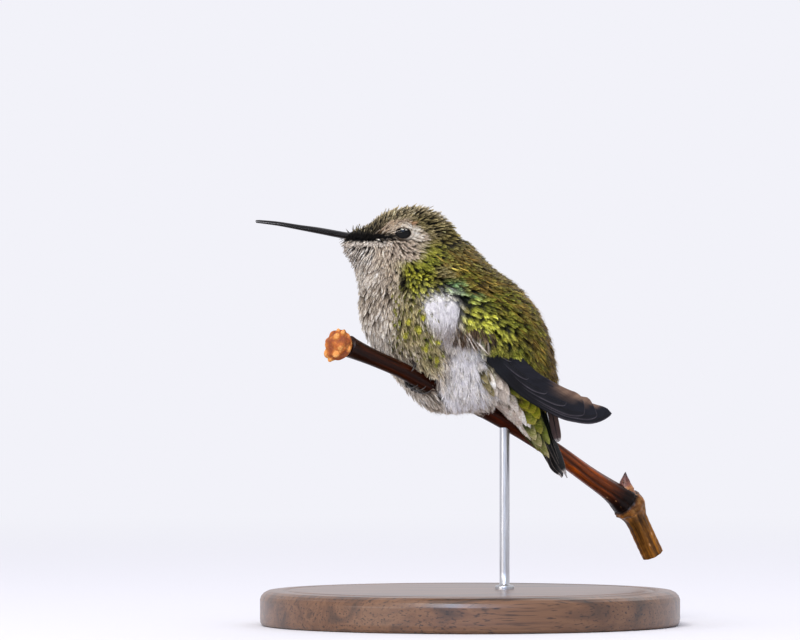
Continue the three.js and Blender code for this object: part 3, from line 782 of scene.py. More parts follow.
def featherShape(style):
    # one feather drawn flat: along 0 to 1, across -1 to 1, height in mm, the barb it belongs to
    along, across, height, barb, reach = [], [], [], [], []
    quads, triangles = [], []
    length, half = style["length"], style["halfWidth"]
    if style["core"] > 0:
        rows, columns = style["rows"], style["columns"]
        s = np.linspace(0, 1, rows + 1) ** 0.75
        c = np.linspace(-1, 1, columns + 1)
        w = np.maximum(outline(s, style), 0.08)[:, None] * c * style["core"]
        along += np.repeat(s, columns + 1).tolist()
        across += w.ravel().tolist()
        height += (-style["dome"] * c ** 2 * np.ones_like(w)).ravel().tolist()
        barb += [-1] * w.size
        reach += [0.0] * w.size
        corner = (np.arange(rows)[:, None] * (columns + 1) + np.arange(columns)).ravel()
        quads.append(np.stack([corner, corner + columns + 1, corner + columns + 2, corner + 1], -1))
    count = style["barbs"]
    for k in range(2 * count):
        sign = 1 if k % 2 else -1
        share = (k // 2 + 0.5 * (k % 2)) / count
        end = style["firstBarb"] + (1.03 - style["firstBarb"]) * share ** 0.8
        start = end - style["reach"] * (1 - 0.4 * share)
        spread = sign * max(float(outline(min(end, 0.985), style)), 0.04)
        path = [(start, 0.05 * spread), (start * 0.5 + end * 0.5, 0.66 * spread), (end, spread)]
        base = len(along)
        for i, (s, w) in enumerate(path):
            before, beyond = path[max(i - 1, 0)], path[min(i + 1, 2)]
            ds, dw = (beyond[0] - before[0]) * length, (beyond[1] - before[1]) * half
            size = math.hypot(ds, dw) + 1e-9
            thick = style["barbWidth"] * (1.0, 0.85, 0.0)[i] / 2
            sides = (1, -1) if i < 2 else (0,)
            for side in sides:
                along.append(s - side * dw / size * thick / length)
                across.append(w + side * ds / size * thick / half)
                height.append(0.03 + 0.03 * (k % 3) - style["dome"] * w * w)
                barb.append(k)
                reach.append(i / 2)
        quads.append(np.array([[base, base + 1, base + 3, base + 2]]))
        triangles.append([base + 2, base + 3, base + 4])
    return {"along": np.array(along), "across": np.array(across), "height": np.array(height),
            "barb": np.array(barb), "reach": np.array(reach), "quads": np.concatenate(quads),
            "triangles": np.array(triangles)}


def coatDepth(t):
    # how deep the skin lies under the outline of the coat
    return 0.55 + 0.4 * smooth(0.8, 3.0, t) + 0.9 * smooth(5.0, 8.0, t) - 0.6 * smooth(13.0, 15.0, t)


coatTotals = []
coatBake = {"patch": 0.003, "margin": 0.02}    # each feather's own spot in the bake, and the free edge
guardStations = 11    # steps along a feather where it is tested against what it must not cover
stations = 6          # steps along a feather that is laid
coatGap = {"twig": 0.08, "eye": 0.1}    # mm


def paintFeathers(style, shape, toneRows):
    # one colour for each point: dark at the root, partly the feather's own base and partly painted shade in
    # the gaps between feathers, then open, with a pale fringe
    deep, openTone, fringe = toneRows
    count, barbs = len(openTone), style["barbs"] * 2 + 1
    shade = np.exp(rng.normal(0, style["shade"], (count, 1, 1)))
    barbShade = np.exp(rng.normal(0, style["barbShade"], (count, barbs)))[:, shape["barb"]]
    barbShade = np.where(shape["barb"] < 0, 1.0, barbShade)[..., None]
    opened = smooth(*style["openFrom"], shape["along"])[None, :, None]
    rim = np.abs(shape["across"]) / max(style["core"], 0.01)
    paleBarb = rng.uniform(0.1, 1.5, (count, barbs))[:, shape["barb"]]
    rimFringe = smooth(*style["rim"], np.maximum(rim, smooth(0.5, 1.0, shape["along"])))
    barbFringe = np.clip(style["barbFringe"] * (0.4 + 0.6 * shape["reach"]) * paleBarb, 0, 1)
    fringed = np.where(shape["barb"] < 0, rimFringe, barbFringe)[..., None]
    colours = deep[:, None] * (1 - opened) + openTone[:, None] * opened
    colours = colours * (1 - fringed * opened) + fringe[:, None] * fringed * opened
    return np.clip(colours * shade * barbShade, 0, 1)


def bakePlaces(shape, t, theta):
    # a small patch for each feather, laid out as the roots lie on the body
    spots = np.stack([t / bodyLast, np.mod(theta, 2 * np.pi) / (2 * np.pi)], -1)
    low, high = spots.min(0), spots.max(0)
    free = coatBake["margin"]
    spots = free + (1 - 2 * free) * (spots - low) / np.maximum(high - low, 1e-6)
    patch = np.stack([np.clip(shape["along"], 0, 1) - 0.5, np.clip(shape["across"], -1, 1) / 2], -1)
    return (spots[:, None] + patch * coatBake["patch"]).reshape(-1, 2)


def layFeathers(name, material, style, t, theta, scale=1.0, paint=markings, way=lieAt, guard=True,
                over=0.0, wide=1.0):
    # lays one feather on each root and returns the finished piece
    count = len(t)
    scale = np.broadcast_to(scale, (count,)).astype(float)
    length = style["length"] * scale * rng.uniform(0.82, 1.15, count)
    width = style["halfWidth"] * scale * wide * rng.uniform(0.85, 1.15, count)
    turn = rng.normal(0, style["yaw"], count)
    roll = rng.normal(0, style["roll"], count)
    lift = style["lift"] * rng.uniform(0.2, 1.6, count)
    spread = rng.uniform(-1, 1, count)
    direction = way(surfaceFrame(t, theta)[0], turn)
    if guard:
        # a feather ends where it would cover what shows; a very short one is left out
        hit = blocked(walk(t, theta, direction, length, guardStations)[0], spread[:, None])
        fraction = np.where(hit.any(1), (hit.argmax(1) - 0.6) / (guardStations - 1), 1.0)
        keep = fraction > 0.3
        length = length * np.minimum(fraction, 1)
        t, theta, direction, length, width, roll, lift = (
            values[keep] for values in (t, theta, direction, length, width, roll, lift))
        count = len(t)
    places, ways, sides, normals = walk(t, theta, direction, length, stations)
    s = np.linspace(0, 1, stations)
    straight = places[:, :1] + ways[:, :1] * (s[:, None] * length[:, None, None])
    stiff = (style["stiff"] * s)[:, None]
    depth = coatDepth(t)[:, None]
    height = (-depth * (1 - s) ** 1.3 * style["sink"] + lift[:, None] * s ** 2
              + rng.uniform(-0.1, 0.05, (count, 1)))
    height = height + over + style.get("rise", 0.0)
    line = places * (1 - stiff) + straight * stiff + normals * height[..., None]

    shape = featherShape(style)
    barbs = style["barbs"] * 2 + 1
    stray = [rng.normal(0, style[key] * times, (count, barbs))[:, shape["barb"]] * shape["reach"]
             for key, times in (("ragged", 1), ("ragged", 2.2), ("loose", 1))]
    along = np.clip(shape["along"] + stray[0], 0, 1.12) * (stations - 1)
    first = np.clip(np.floor(along).astype(int), 0, stations - 2)
    part = (along - first)[..., None]
    row = np.arange(count)[:, None]

    def onLine(values):
        return values[row, first] * (1 - part) + values[row, first + 1] * part

    side, normal = unit(onLine(sides)), unit(onLine(normals))
    c, r = np.cos(roll)[:, None, None], np.sin(roll)[:, None, None]
    side, normal = side * c + normal * r, normal * c - side * r
    offset = (shape["across"] + stray[1]) * width[:, None]
    up = shape["height"] + stray[2]
    points = onLine(line) + side * offset[..., None] + normal * up[..., None]
    points = clearOfEyes(clearOfTwig(points.reshape(-1, 3), coatGap["twig"]), coatGap["eye"])

    # the colours are those of the place where the open part of the feather lies
    colours = paintFeathers(style, shape, paint(places[:, 4])).reshape(-1, 3)
    start = (np.arange(count) * len(shape["along"]))[:, None, None]
    quads = (shape["quads"] + start).reshape(-1, 4)
    triangles = (shape["triangles"] + start).reshape(-1, 3)
    piece = makeObject(name, points, [quads, triangles], {"Paint": colours}, bakePlaces(shape, t, theta))
    made = 2 * len(quads) + len(triangles)
    coatTotals.append(made)
    print(f"{name}: {count} feathers, {made} triangles")
    return settle(piece, material, "plumage")


def bothSides(name, material, style, t, theta, scale=1.0, **rest):
    # the left and the right half as pieces of their own
    scale = np.broadcast_to(scale, t.shape)
    for side, half in (("left", np.sin(theta) < 0), ("right", np.sin(theta) >= 0)):
        layFeathers(f"{name}_{side}", material, style, t[half], theta[half], scale[half], **rest)


skinLook = {
    "rows": 190, "around": 192, "tailEnd": 13.6, "lidRound": 84, "lid": "#0b0908", "lidFoot": "#7c6e60",
    "socket": 1.75, "eyeGap": 0.08, "twigGap": 0.05,    # mm
}


# the fold of a lid across its width: openings from the eye's axis, mm above the eyeball
lidProfile = np.array([
    (1, 0.03), (1, 0.1), (1.04, 0.17), (1.12, 0.2), (1.2, 0.15), (1.26, 0.17), (1.34, 0.1),
    (1.45, -0.05), (1.45, -0.3), (1.15, -0.3), (1, -0.25),
])


def lidBand(side):
    # a soft fold round the opening: inner edge on the eyeball, crest, outer foot, back underneath
    bearing = np.linspace(0, 2 * np.pi, skinLook["lidRound"], endpoint=False)[:, None]
    share, rise = lidProfile.T[:, None]
    bead = 0.02 * np.sin(bearing * 26) * smooth(1.0, 1.1, share) * smooth(1.3, 1.2, share)
    ways = awayFrom(eye["axis"], lidEdge(bearing) * share, bearing) * [1, side, 1]
    points = np.array(eye["centre"]) * [1, side, 1] + ways * (eye["radius"] + rise + bead)[..., None]
    count, around = points.shape[:2]
    i, j = np.arange(count)[:, None], np.arange(around)[None]
    i2, j2 = (i + 1) % count, (j + 1) % around
    faces = np.stack([i * around + j, i * around + j2, i2 * around + j2, i2 * around + j], -1)
    faces = faces.reshape(-1, 4)
    outer = smooth(1.14, 1.28, share + 0 * bearing)
    tone = mix(linear(skinLook["lid"]), linear(skinLook["lidFoot"]), outer)
    return points.reshape(-1, 3), faces if side < 0 else faces[:, ::-1], tone.reshape(-1, 3)


def makeSkin():
    t, theta = np.meshgrid(np.linspace(0.1, skinLook["tailEnd"], skinLook["rows"]),
                           np.linspace(0, 2 * np.pi, skinLook["around"], endpoint=False), indexing="ij")
    place, _, _, normal = surfaceFrame(t, theta)
    half = spline(bodyRows, t)[..., 4]
    depth = np.minimum(coatDepth(t), 0.4 * half) + 0.06 * wobble(place, 3.0, 2.0)
    points = place - normal * depth[..., None]
    share, distance = eyeShare(points)
    centre = eyeMiddle(points)
    socket = centre + unit(points - centre) * skinLook["socket"]
    inSocket = ((share < 1.16) & (distance < 4))[..., None]
    points = np.where(inSocket, socket, clearOfEyes(points, skinLook["eyeGap"]))
    points = clearOfTwig(points, skinLook["twigGap"])
    points, quads, ends = loftParts(points)
    # the skin takes the dark root colour of the feathers: painted shade where it shows in the gaps between
    # them
    deep, openTone, _ = markings(points)
    colours = deep * 0.94 + openTone * 0.06
    # black under the lore, between the bill and the eye
    lore = smooth(1.2, 0.8, np.abs(place[..., 2] - 77.45)) * smooth(-17.2, -18.0, place[..., 0])
    colours = mix(colours, tones["blackMaskAndShade"][0], withEnds(lore[..., None])[:, 0])
    allPoints, allQuads, allColours = [points], [quads], [colours]
    for side in (1, -1):
        lid, faces, tone = lidBand(side)
        allQuads.append(faces + sum(len(p) for p in allPoints))
        allPoints.append(lid)
        allColours.append(tone)
    skin = makeObject("skin", np.concatenate(allPoints), [np.concatenate(allQuads), ends],
                      {"Paint": np.concatenate(allColours)})
    # thin dry skin with quill follicles, seen only in the gaps and on the lids
    material = makeMaterial("birdSkin", {"Roughness": 0.6, "IOR": 1.4, "Specular IOR Level": 0.15}, [
        {"pattern": "Voronoi", "size": 0.2857, "stops": [(0.0, "#b0a8a0"), (0.4, "#ffffff")],
         "relief": (0.4, 0.05)}])
    settle(skin, material, "plumage", "head", "neck", "trunk")


makeSkin()
print("skin is made")


def makeEyes():
    # wet cornea over a nearly black iris: a mirror-smooth clear coat gives the bright sky spot
    material = makeMaterial("wetCornea", {"Roughness": 0.03, "IOR": 1.376, "Specular IOR Level": 0.28}, [
        {"pattern": "Noise", "size": 1 / 6, "settings": {"Detail": 2.0},
         "stops": [(0.3, "#c0c0c0"), (0.7, "#ffffff")]}])
    turn = np.linspace(0.02, math.pi - 0.02, eye["rings"])[:, None]
    bearing = np.linspace(0, 2 * np.pi, eye["around"], endpoint=False)[None]
    for name, side in (("left", 1), ("right", -1)):
        ways = awayFrom(np.array(eye["axis"]) * [1, side, 1], turn, bearing)
        bulge = (eye["radius"] + 0.05 * smooth(0.7, 0.2, turn))[..., None]
        rings = np.array(eye["centre"]) * [1, side, 1] + ways * bulge
        iris = (smooth(0.3, 0.34, turn) * smooth(0.9, 0.6, turn) + 0 * bearing)[..., None]
        colours = linear(eye["pupil"]) * (1 - iris) + linear(eye["iris"]) * iris
        ball = loftObject(f"eyeball_{name}", [rings], {"Paint": [withEnds(colours)]})
        settle(ball, material, "eye", f"eye_{name}")


# middle line of the bill from inside the head to its tip (x, z), half height, half width
billRows = [
    (-20.6, 77.2, 0.5, 0.7),
    (-25.8, 77.85, 0.72, 1),
    (-30.9, 78.75, 0.68, 0.88),
    (-35, 79.4, 0.55, 0.68),
    (-39.2, 80.1, 0.46, 0.55),
    (-42.9, 80.5, 0.36, 0.42),
    (-44, 80.55, 0.27, 0.32),
]
billLook = {"opening": 0.12, "gap": 0.03, "steps": 110, "around": 40, "lowerShort": 0.03}


def makeBill():
    # horn sheath, dark and smooth: a long soft gleam on top, fine growth lines along it
    shader = {"Roughness": 0.3, "IOR": 1.54, "Specular IOR Level": 0.2}
    material = makeMaterial("darkHornSheath", shader, [
        {"pattern": "Noise", "size": 1.0, "stretch": (0.25, 3, 3), "settings": {"Detail": 4.0},
         "stops": [(0.3, "#090808"), (0.55, "#131112"), (0.8, "#242021")], "relief": (0.35, 0.05)}], None)
    steps = billLook["steps"]
    for name, sign in (("upper", 1), ("lower", -1)):
        end = len(billRows) - 1 - (billLook["lowerShort"] * 4 if sign < 0 else 0)
        q = spline(billRows, np.linspace(0, end, steps))
        x, z, high, wide = q.T
        taper = np.sqrt(np.clip((1 - np.linspace(0, 1, steps)) / 0.035, 0, 1)) * 0.9 + 0.1
        high, wide = high * taper * 0.9, wide * taper
        low = math.asin(billLook["opening"])
        start, stop = (-low, math.pi + low) if sign > 0 else (math.pi + low, 2 * math.pi - low)
        arc = np.linspace(start, stop, billLook["around"] - 8)
        # the ridge along the top is a little sharper than the sides
        across = np.cos(arc)[None] * wide[:, None]
        up = np.sin(arc)[None] * high[:, None] * (1 + 0.06 * np.abs(np.sin(arc)) ** 6)
        back = np.linspace(-1, 1, 10)[1:-1] * sign
        flatUp = -billLook["opening"] * high[:, None] + sign * billLook["gap"] - 0 * back
        across = np.concatenate([across, back[None] * wide[:, None] * math.cos(low)], 1)
        up = np.concatenate([np.where(sign * up < sign * flatUp[:, :1], flatUp[:, :1], up), flatUp], 1)
        if sign > 0:
            # the nostril slit
            slit = np.exp(-((x[:, None] + 27.3) / 0.9) ** 2 - ((up / high[:, None] - 0.35) / 0.18) ** 2)
            across = across * (1 - 0.14 * slit)
        points = np.stack([x[:, None] + 0 * up, across, z[:, None] + up], -1)
        settle(loftObject(f"bill_{name}_sheath", [points]), material, "horn", f"bill_{name}")


makeEyes()
makeBill()
print("eyes and bill are made")


# places across a vane, closer together toward both edges, where the thin pale margin lies
vaneColumns = np.array([-1, -0.95, -0.84, -0.6, -0.3, 0, 0.3, 0.6, 0.82, 0.93, 0.98, 1.0])


def vaneForm(line, side, up, low, high, thick, camber):
    # a closed thin vane along a line; low and high are its widths on the two sides of the shaft
    c = vaneColumns
    across = np.where(c < 0, c * low[:, None], c * high[:, None])
    belly = thick / 2 * np.sqrt(1 - c ** 2) + 0 * across
    lift = camber * across ** 2
    middle = line[:, None] + side[:, None] * across[..., None] + up[:, None] * lift[..., None]
    half = up[:, None] * belly[..., None]
    return np.concatenate([middle + half, (middle - half)[:, -2:0:-1]], 1), across


def roundVane(s, tipShare):
    # narrow at the quill, full in the middle, rounded over the last share
    quill = np.clip(s / 0.12, 0.15, 1) ** 0.5
    return quill * np.sqrt(np.clip(1 - (np.maximum(s - 1 + tipShare, 0) / tipShare) ** 2.2, 0.0004, 1))


vaneLook = {
    "shine": 0.14, "lineSpacing": 0.2856, "cloudSize": 1.25, "relief": (0.35, 0.05),
    "slant": 1.25, "crowding": 0.62, "shaft": "#15120f", "shaftRadius": 0.13, "shaftAround": 8,
}


def addVane(forms, marks, line, side, up, low, high, thick, camber, paint):
    # adds a vane and its shaft to the lofted forms, with their colours and the places of their barbs
    rings, across = vaneForm(line, side, up, low, high, thick, camber)
    steps = np.linalg.norm(np.gradient(line, axis=0), axis=1)
    along = (np.cumsum(steps) - steps[0])[:, None]
    fromLow, fromHigh = across + low[:, None], high[:, None] - across
    full, nearLow, nearHigh = (np.concatenate([half, half[:, -2:0:-1]], 1)
                               for half in (across, fromLow, fromHigh))
    colours = paint(along / along[-1] + 0 * full, full, np.minimum(nearLow, nearHigh))
    barbs = np.stack([(along - vaneLook["slant"] * np.abs(full)) * vaneLook["crowding"], full * 0.25,
                      along * 0.1 + 0 * full], -1)
    taper = np.linspace(1, 0.25, len(line)) * vaneLook["shaftRadius"]
    shaft = tubeRings(line + up * thick * 0.45, taper, vaneLook["shaftAround"])
    flat, dark = 0 * shaft[..., 0], np.broadcast_to(linear(vaneLook["shaft"]), shaft.shape)
    forms += [rings, shaft]
    marks["Paint"] += [withEnds(colours), withEnds(dark)]
    marks["Vane"] += [withEnds(barbs), withEnds(np.stack([along + flat, flat, flat], -1))]


def vaneMaterial(name, roughness):
    # stiff vanes of joined barbs: fine slanting lines with a low silky gloss; the lines of a wave
    # pattern lie pi / 10 of its size apart
    shader = {"Roughness": roughness, "IOR": 1.54, "Specular IOR Level": vaneLook["shine"]}
    return makeMaterial(name, shader, [
        {"pattern": "Wave", "size": vaneLook["lineSpacing"] * 10 / math.pi,
         "settings": {"Distortion": 1.6, "Detail": 2.0, "Detail Scale": 1.5},
         "stops": [(0.0, "#c4c0c8"), (1.0, "#ffffff")], "relief": vaneLook["relief"]},
        {"pattern": "Noise", "size": vaneLook["cloudSize"], "settings": {"Detail": 3.0},
         "stops": [(0.3, "#c0bcc2"), (0.7, "#ffffff")]}], places="Vane")


slateVanes = vaneMaterial("slateFlightFeather", 0.42)
tailVanes = vaneMaterial("glossyTailFeather", 0.45)

# lower edge of the folded flight feathers from the side (x, z), and how far out they lie (x, y)
bladeEdge = np.array([(-3.4, 56.8), (-1.5, 54.9), (0.3, 52.9), (3.55, 49.4), (7.4, 46.0), (11.8, 43.4),
                      (16.2, 41.4), (19.2, 40.7), (22.1, 40.4), (24.6, 40.8), (28, 42.2)])
bladeFine = spline(bladeEdge, np.linspace(0, len(bladeEdge) - 1, 500))
bladeSlope = np.concatenate([bladeFine[:, :1], unit(np.gradient(bladeFine, axis=0))], 1)
bladeOut = np.array([(-3, -10.6), (0, -11.1), (4, -11.4), (8, -10.9), (12, -10.4), (16, -10.0), (20, -9.6),
                     (28, -9)])
# how strongly the stack bends in over the body above its middle, along x
bladeCurl = np.array([(-3, 0.1), (4, 0.1), (8, 0.12), (12, 0.12), (16, 0.09), (20, 0.06), (28, 0.03)])
curlFrom = 2.0    # mm above the lower edge

# flight feathers from the longest hidden one to the short ones on top: x of the tip along the edge,
# height of the tip above the edge, height of the root, width below and above the shaft, layer
flightFeathers = [
    # the lowest, near-black feather is painted shade along the wing's lower edge
    (25.2, 0.6, 0.85, 0.8, 2.6, 0, "edge"),
    (27.1, 0.6, 1.25, 0.9, 3.6, 1, "tan"),
    (24.2, 1.5, 1.6, 0.9, 3.7, 2, "tan"),
    (20.9, 1.95, 1.95, 0.95, 4, 3, "tan"),
    (16.1, 2.95, 2.3, 1, 3.2, 4, "slate"),
    (11.5, 3.3, 2.6, 1, 2.9, 5, "slate"),
    (6.8, 3.6, 2.9, 1, 2.7, 6, "slate"),
    (2.8, 3.8, 3.2, 1, 2.5, 7, "slate"),
]
flightLook = {
    "rootX": -2.6, "stations": 64, "thick": 0.09, "step": 0.085, "tipLength": 3.4,
    "camber": -0.02,
    # edge is near black: painted shade for the lowest feather
    "slate": "#1b1c25", "edge": "#060507", "dark": "#101014", "pale": "#68646c", "tan": "#a0836c",
}


def bladePlace(x, height, layer):
    # a place on the stack of folded feathers, height in mm above its lower edge
    low = np.interp(x, *bladeFine.T)
    slope = unit(columnsAt(bladeSlope, x)[..., 1:])
    y = np.interp(x, *bladeOut.T) + np.interp(x, *bladeCurl.T) * np.maximum(height - curlFrom, 0) ** 2
    return np.stack([x - slope[..., 1] * height, y - flightLook["step"] * layer,
                     low + slope[..., 0] * height], -1)


def hexTones(look):
    # the colours of a dictionary, turned to linear
    return {key: linear(value) for key, value in look.items() if isinstance(value, str)}


def flightPaint(kind, high):
    # slate vanes, a thin pale margin, and a tan trailing margin near the tips of the long ones; the lowest
    # feather is painted near black as painted shade under the folded wing
    look = hexTones(flightLook)

    def paint(share, across, edge):
        colour = mix(look["edge"] if kind == "edge" else look["slate"], look["dark"],
                     smooth(0.2, -0.9, across) * 0.8)
        if kind != "edge":
            colour = mix(colour, look["pale"], 0.8 * smooth(0.22, 0.05, edge) * smooth(0.5, 0.8, share))
        if kind == "tan":
            margin = smooth(0.5, 0.78, across / high) * smooth(0.62, 0.82, share)
            colour = mix(colour, look["tan"], 0.85 * margin)
        return colour
    return paint


def makeFlight():
    start = flightLook["rootX"]
    for name in ("left", "right"):
        forms, marks = [], {"Paint": [], "Vane": []}
        for tipX, tipHeight, rootHeight, low, high, layer, kind in flightFeathers:
            s = np.linspace(0, 1, flightLook["stations"]) ** 0.8
            x = start + (tipX - start) * s
            height = rootHeight + (tipHeight - rootHeight) * s ** 1.5
            line = bladePlace(x, height, layer)
            side = unit(bladePlace(x, height + 0.5, layer) - line)
            up = unit(np.cross(unit(np.gradient(line, axis=0)), side))
            tipLength = flightLook["tipLength"] * (2.0 if layer == 1 else 1.0)
            shape = roundVane(s, tipLength / (tipX - start))
            addVane(forms, marks, line, side, up, low * shape, high * shape, flightLook["thick"],
                    flightLook["camber"], flightPaint(kind, high))
        if name == "right":
            forms = [toRightWing(form) for form in forms]
        piece = loftObject(f"flight_feathers_{name}", forms, marks, name == "right")
        settle(piece, slateVanes, "wing_feathers", f"wing_{name}")


# tail feathers of one side from the middle one outward: y at the root and tip from the tail's
# middle, how much shorter, how far below, degrees of roll
rectrices = [
    (0.5, 0.7, 0.7, 0, 3), (0.9, 1.3, 0.3, 0.2, 10), (1.3, 1.9, 0.1, 0.5, 22), (1.8, 2.4, 0.7, 1.2, 38),
    (2.4, 2.8, 1.2, 2.2, 58),
]
tailLook = {
    "root": (15.0, -0.7, 44.0), "tip": (19.4, -1.2, 29.3), "stations": 48, "thick": 0.16,
    "low": 1.1, "high": 2.0, "camber": -0.03, "bow": 0.6, "whiteFrom": 0.93,
    "looseStations": 40, "looseThick": 0.12, "looseFaces": (-0.25, -0.97, 0.0),
    "green": "#161c0c", "black": "#050506", "white": "#d9d3cc", "pale": "#8b8074",
}
# separate narrow feathers: points of the middle line, width, white share of the tip, tone
looseRectrices = [
    ([(15, -3.2, 38.5), (15.1, -3.3, 34.8), (15.5, -3.3, 32.7), (16.4, -3.2, 31.1), (18.1, -3.1, 29.8)],
     0.75, 0.9, "#08080a"),
    ([(15.8, -2.6, 44.5), (16.5, -2.8, 41.4), (17, -2.9, 38.9), (17.5, -3, 36.6)],
     1.9, 0.9, "#5a4640"),
]


def tailPaint(white, tone=None):
    # white is the share of the length where the white tip begins; 1 leaves it out
    look = hexTones(tailLook)

    def paint(share, across, edge):
        base = look["green"] if tone is None else linear(tone)
        colour = mix(base, look["black"] if tone is None else linear(tone), smooth(0.25, 0.5, share))
        colour = mix(colour, look["pale"], 0.6 * smooth(0.14, 0.03, edge) * smooth(0.3, 0.6, share))
        return mix(colour, look["white"], smooth(white, white + 0.06, share)) if white < 1 else colour
    return paint


def makeTail():
    root, tip = np.array(tailLook["root"]), np.array(tailLook["tip"])
    axis = unit(tip - root)
    below = np.array([axis[2], 0, -axis[0]])
    below = unit(below - axis * dot(below, axis))
    s = np.linspace(0, 1, tailLook["stations"]) ** 0.85
    forms, marks = [], {"Paint": [], "Vane": []}
    for rootY, tipY, shorter, deep, roll in rectrices:
        for sign in (-1, 1):
            start = root + [0, sign * rootY, 0] + below * (deep + 0.04 * sign)
            end = tip + [0, sign * tipY, 0] - axis * shorter + below * (deep * 0.25 + 0.04 * sign)
            bow = below * (tailLook["bow"] * 2 * s * (1 - s))[:, None]
            line = start + (end - start) * s[:, None] + bow
            tangent = unit(np.gradient(line, axis=0))
            tilt = math.radians(roll) * sign
            # the outer vane is the narrow one and drops toward the belly side
            across = np.array([0.0, 1.0, 0.0]) * math.cos(tilt) + below * math.sin(abs(tilt)) * sign
            up = unit(np.cross(tangent, across))
            shape = roundVane(s, 0.5)
            low, high = (tailLook[key] for key in (("high", "low") if sign > 0 else ("low", "high")))
            addVane(forms, marks, line, np.cross(up, tangent), up, low * shape, high * shape,
                    tailLook["thick"], tailLook["camber"],
                    tailPaint(tailLook["whiteFrom"] if roll > 15 else 1.0))
    for points, width, white, tone in looseRectrices:
        count = tailLook["looseStations"]
        line = spline(points, np.linspace(0, len(points) - 1, count))
        tangent = unit(np.gradient(line, axis=0))
        outward = np.array(tailLook["looseFaces"])
        up = unit(outward - tangent * dot(tangent, outward)[:, None])
        shape = roundVane(np.linspace(0, 1, count), 0.4) * width / 2
        addVane(forms, marks, line, np.cross(up, tangent), up, shape, shape, tailLook["looseThick"], 0.0,
                tailPaint(white, tone))
    settle(loftObject("tail_vanes", forms, marks), tailVanes, "tail_feathers", "tail")


makeFlight()
makeTail()
print("long feathers are made")


# toes: place along the twig at the root and at the claw's tip, mm; turn round the twig, degrees
footLook = {
    "toes": [(-0.4, 0.6, -8, 226), (0.0, 2.4, -8, 238), (0.4, 4.0, -8, 230), (-1.2, -2.3, 8, -84)],
    "toeRadius": 0.4, "clawRadius": 0.22, "clawFrom": 0.66, "stations": 90, "around": 20,
    "clawStations": 30, "clawAround": 16,
    "feet": [("left", -13.0, -1), ("right", -7.6, 1)],    # x on the twig, and the side
    "shank": (1.6, 0.9, 5.2), "shankRadius": 0.6, "shankStations": 60, "shankAround": 24,
    # plateHighlight: painted highlight on the crests of the plates
    "skin": "#0d0b0a", "plateHighlight": "#4a4642",
}


def gripPlace(x, along, angle, distance):
    # a place round the twig: angle 0 is above it, distance counts from its bark
    place, ahead = columnsAt(twigFine, x), columnsAt(twigFine, x + 0.5)[:3]
    tangent = unit(ahead - place[:3])
    right = unit(np.array([-tangent[1], tangent[0], 0]))
    upward = np.cross(tangent, right)
    turn = np.radians(angle)
    spread = (place[3] + distance)[..., None]
    ways = upward * np.cos(turn)[..., None] + right * np.sin(turn)[..., None]
    return place[:3] + tangent * np.asarray(along)[..., None] + ways * spread


def footTone(share, shape):
    # dark skin, with a painted highlight on the crests of the plates
    tone = mix(linear(footLook["skin"]), linear(footLook["plateHighlight"]), share)
    return withEnds(np.broadcast_to(tone[:, None], shape))


def makeFeet():
    # scaly leg skin: dark plates, slightly shiny; their paler crests are a painted highlight
    legSkin = makeMaterial("scalyLegSkin", {"Roughness": 0.42, "IOR": 1.45, "Specular IOR Level": 0.35}, [
        {"pattern": "Noise", "size": 0.4, "settings": {"Detail": 3.0},
         "stops": [(0.3, "#a8a4a0"), (0.7, "#ffffff")], "relief": (0.3, 0.04)}])
    # claw horn: black, smooth, sharp; painted dark grey rather than black as a painted highlight
    clawHorn = makeMaterial("clawHorn", {"Roughness": 0.28, "IOR": 1.54}, [
        {"pattern": "Noise", "size": 1 / 3, "settings": {"Detail": 2.0},
         "stops": [(0.3, "#1a1918"), (0.7, "#4a4744")]}], None)
    toeRadius, clawFrom = footLook["toeRadius"], footLook["clawFrom"]
    for name, footX, sign in footLook["feet"]:
        forms, paints, claws = [], [], []
        for startAlong, endAlong, fromAngle, toAngle in footLook["toes"]:
            share = np.linspace(0, 1, footLook["stations"])
            share = share[share <= clawFrom]
            along = startAlong + (endAlong - startAlong) * share
            angle = fromAngle + (toAngle - fromAngle) * share
            knuckles = 0.06 * np.sin(share * 2 * np.pi * 5) ** 2
            plates = 0.035 * np.abs(np.sin(share * np.pi * 22)) ** 0.6
            radius = toeRadius * (0.93 - 0.12 * share + knuckles + plates)
            line = gripPlace(footX, along, angle, 0.3 + toeRadius + 0.1 * share)
            forms.append(tubeRings(line, radius, footLook["around"]))
            paints.append(footTone(plates / 0.035 * 0.9, forms[-1].shape))
            share = np.linspace(clawFrom - 0.02, 1.0, footLook["clawStations"])
            fine = (share - share[0]) / (1 - share[0])
            line = gripPlace(footX, startAlong + (endAlong - startAlong) * share,
                             fromAngle + (toAngle - fromAngle) * share, 0.62 - 0.26 * fine ** 2)
            radius = footLook["clawRadius"] * (1 - fine) ** 0.7 + 0.02
            claws.append(tubeRings(line, radius, footLook["clawAround"]))
        # the palm and the short upright shank with its plates
        start = gripPlace(footX, 0.0, np.array(0.0), 0.95)
        share = np.linspace(0, 1, footLook["shankStations"])
        line = start + np.array(footLook["shank"]) * [1, sign, 1] * share[:, None]
        plates = 0.05 * np.abs(np.sin(share * np.pi * 9)) ** 0.5
        radius = footLook["shankRadius"] + plates + 0.28 * smooth(0.25, 0.0, share)
        forms.append(tubeRings(line, radius, footLook["shankAround"]))
        paints.append(footTone(plates / 0.05 * 0.8, forms[-1].shape))
        settle(loftObject(f"foot_{name}", forms, {"Paint": paints}), legSkin, "leg_skin", f"leg_{name}")
        settle(loftObject(f"claws_{name}", claws), clawHorn, "horn")


makeFeet()
print("feet are made")


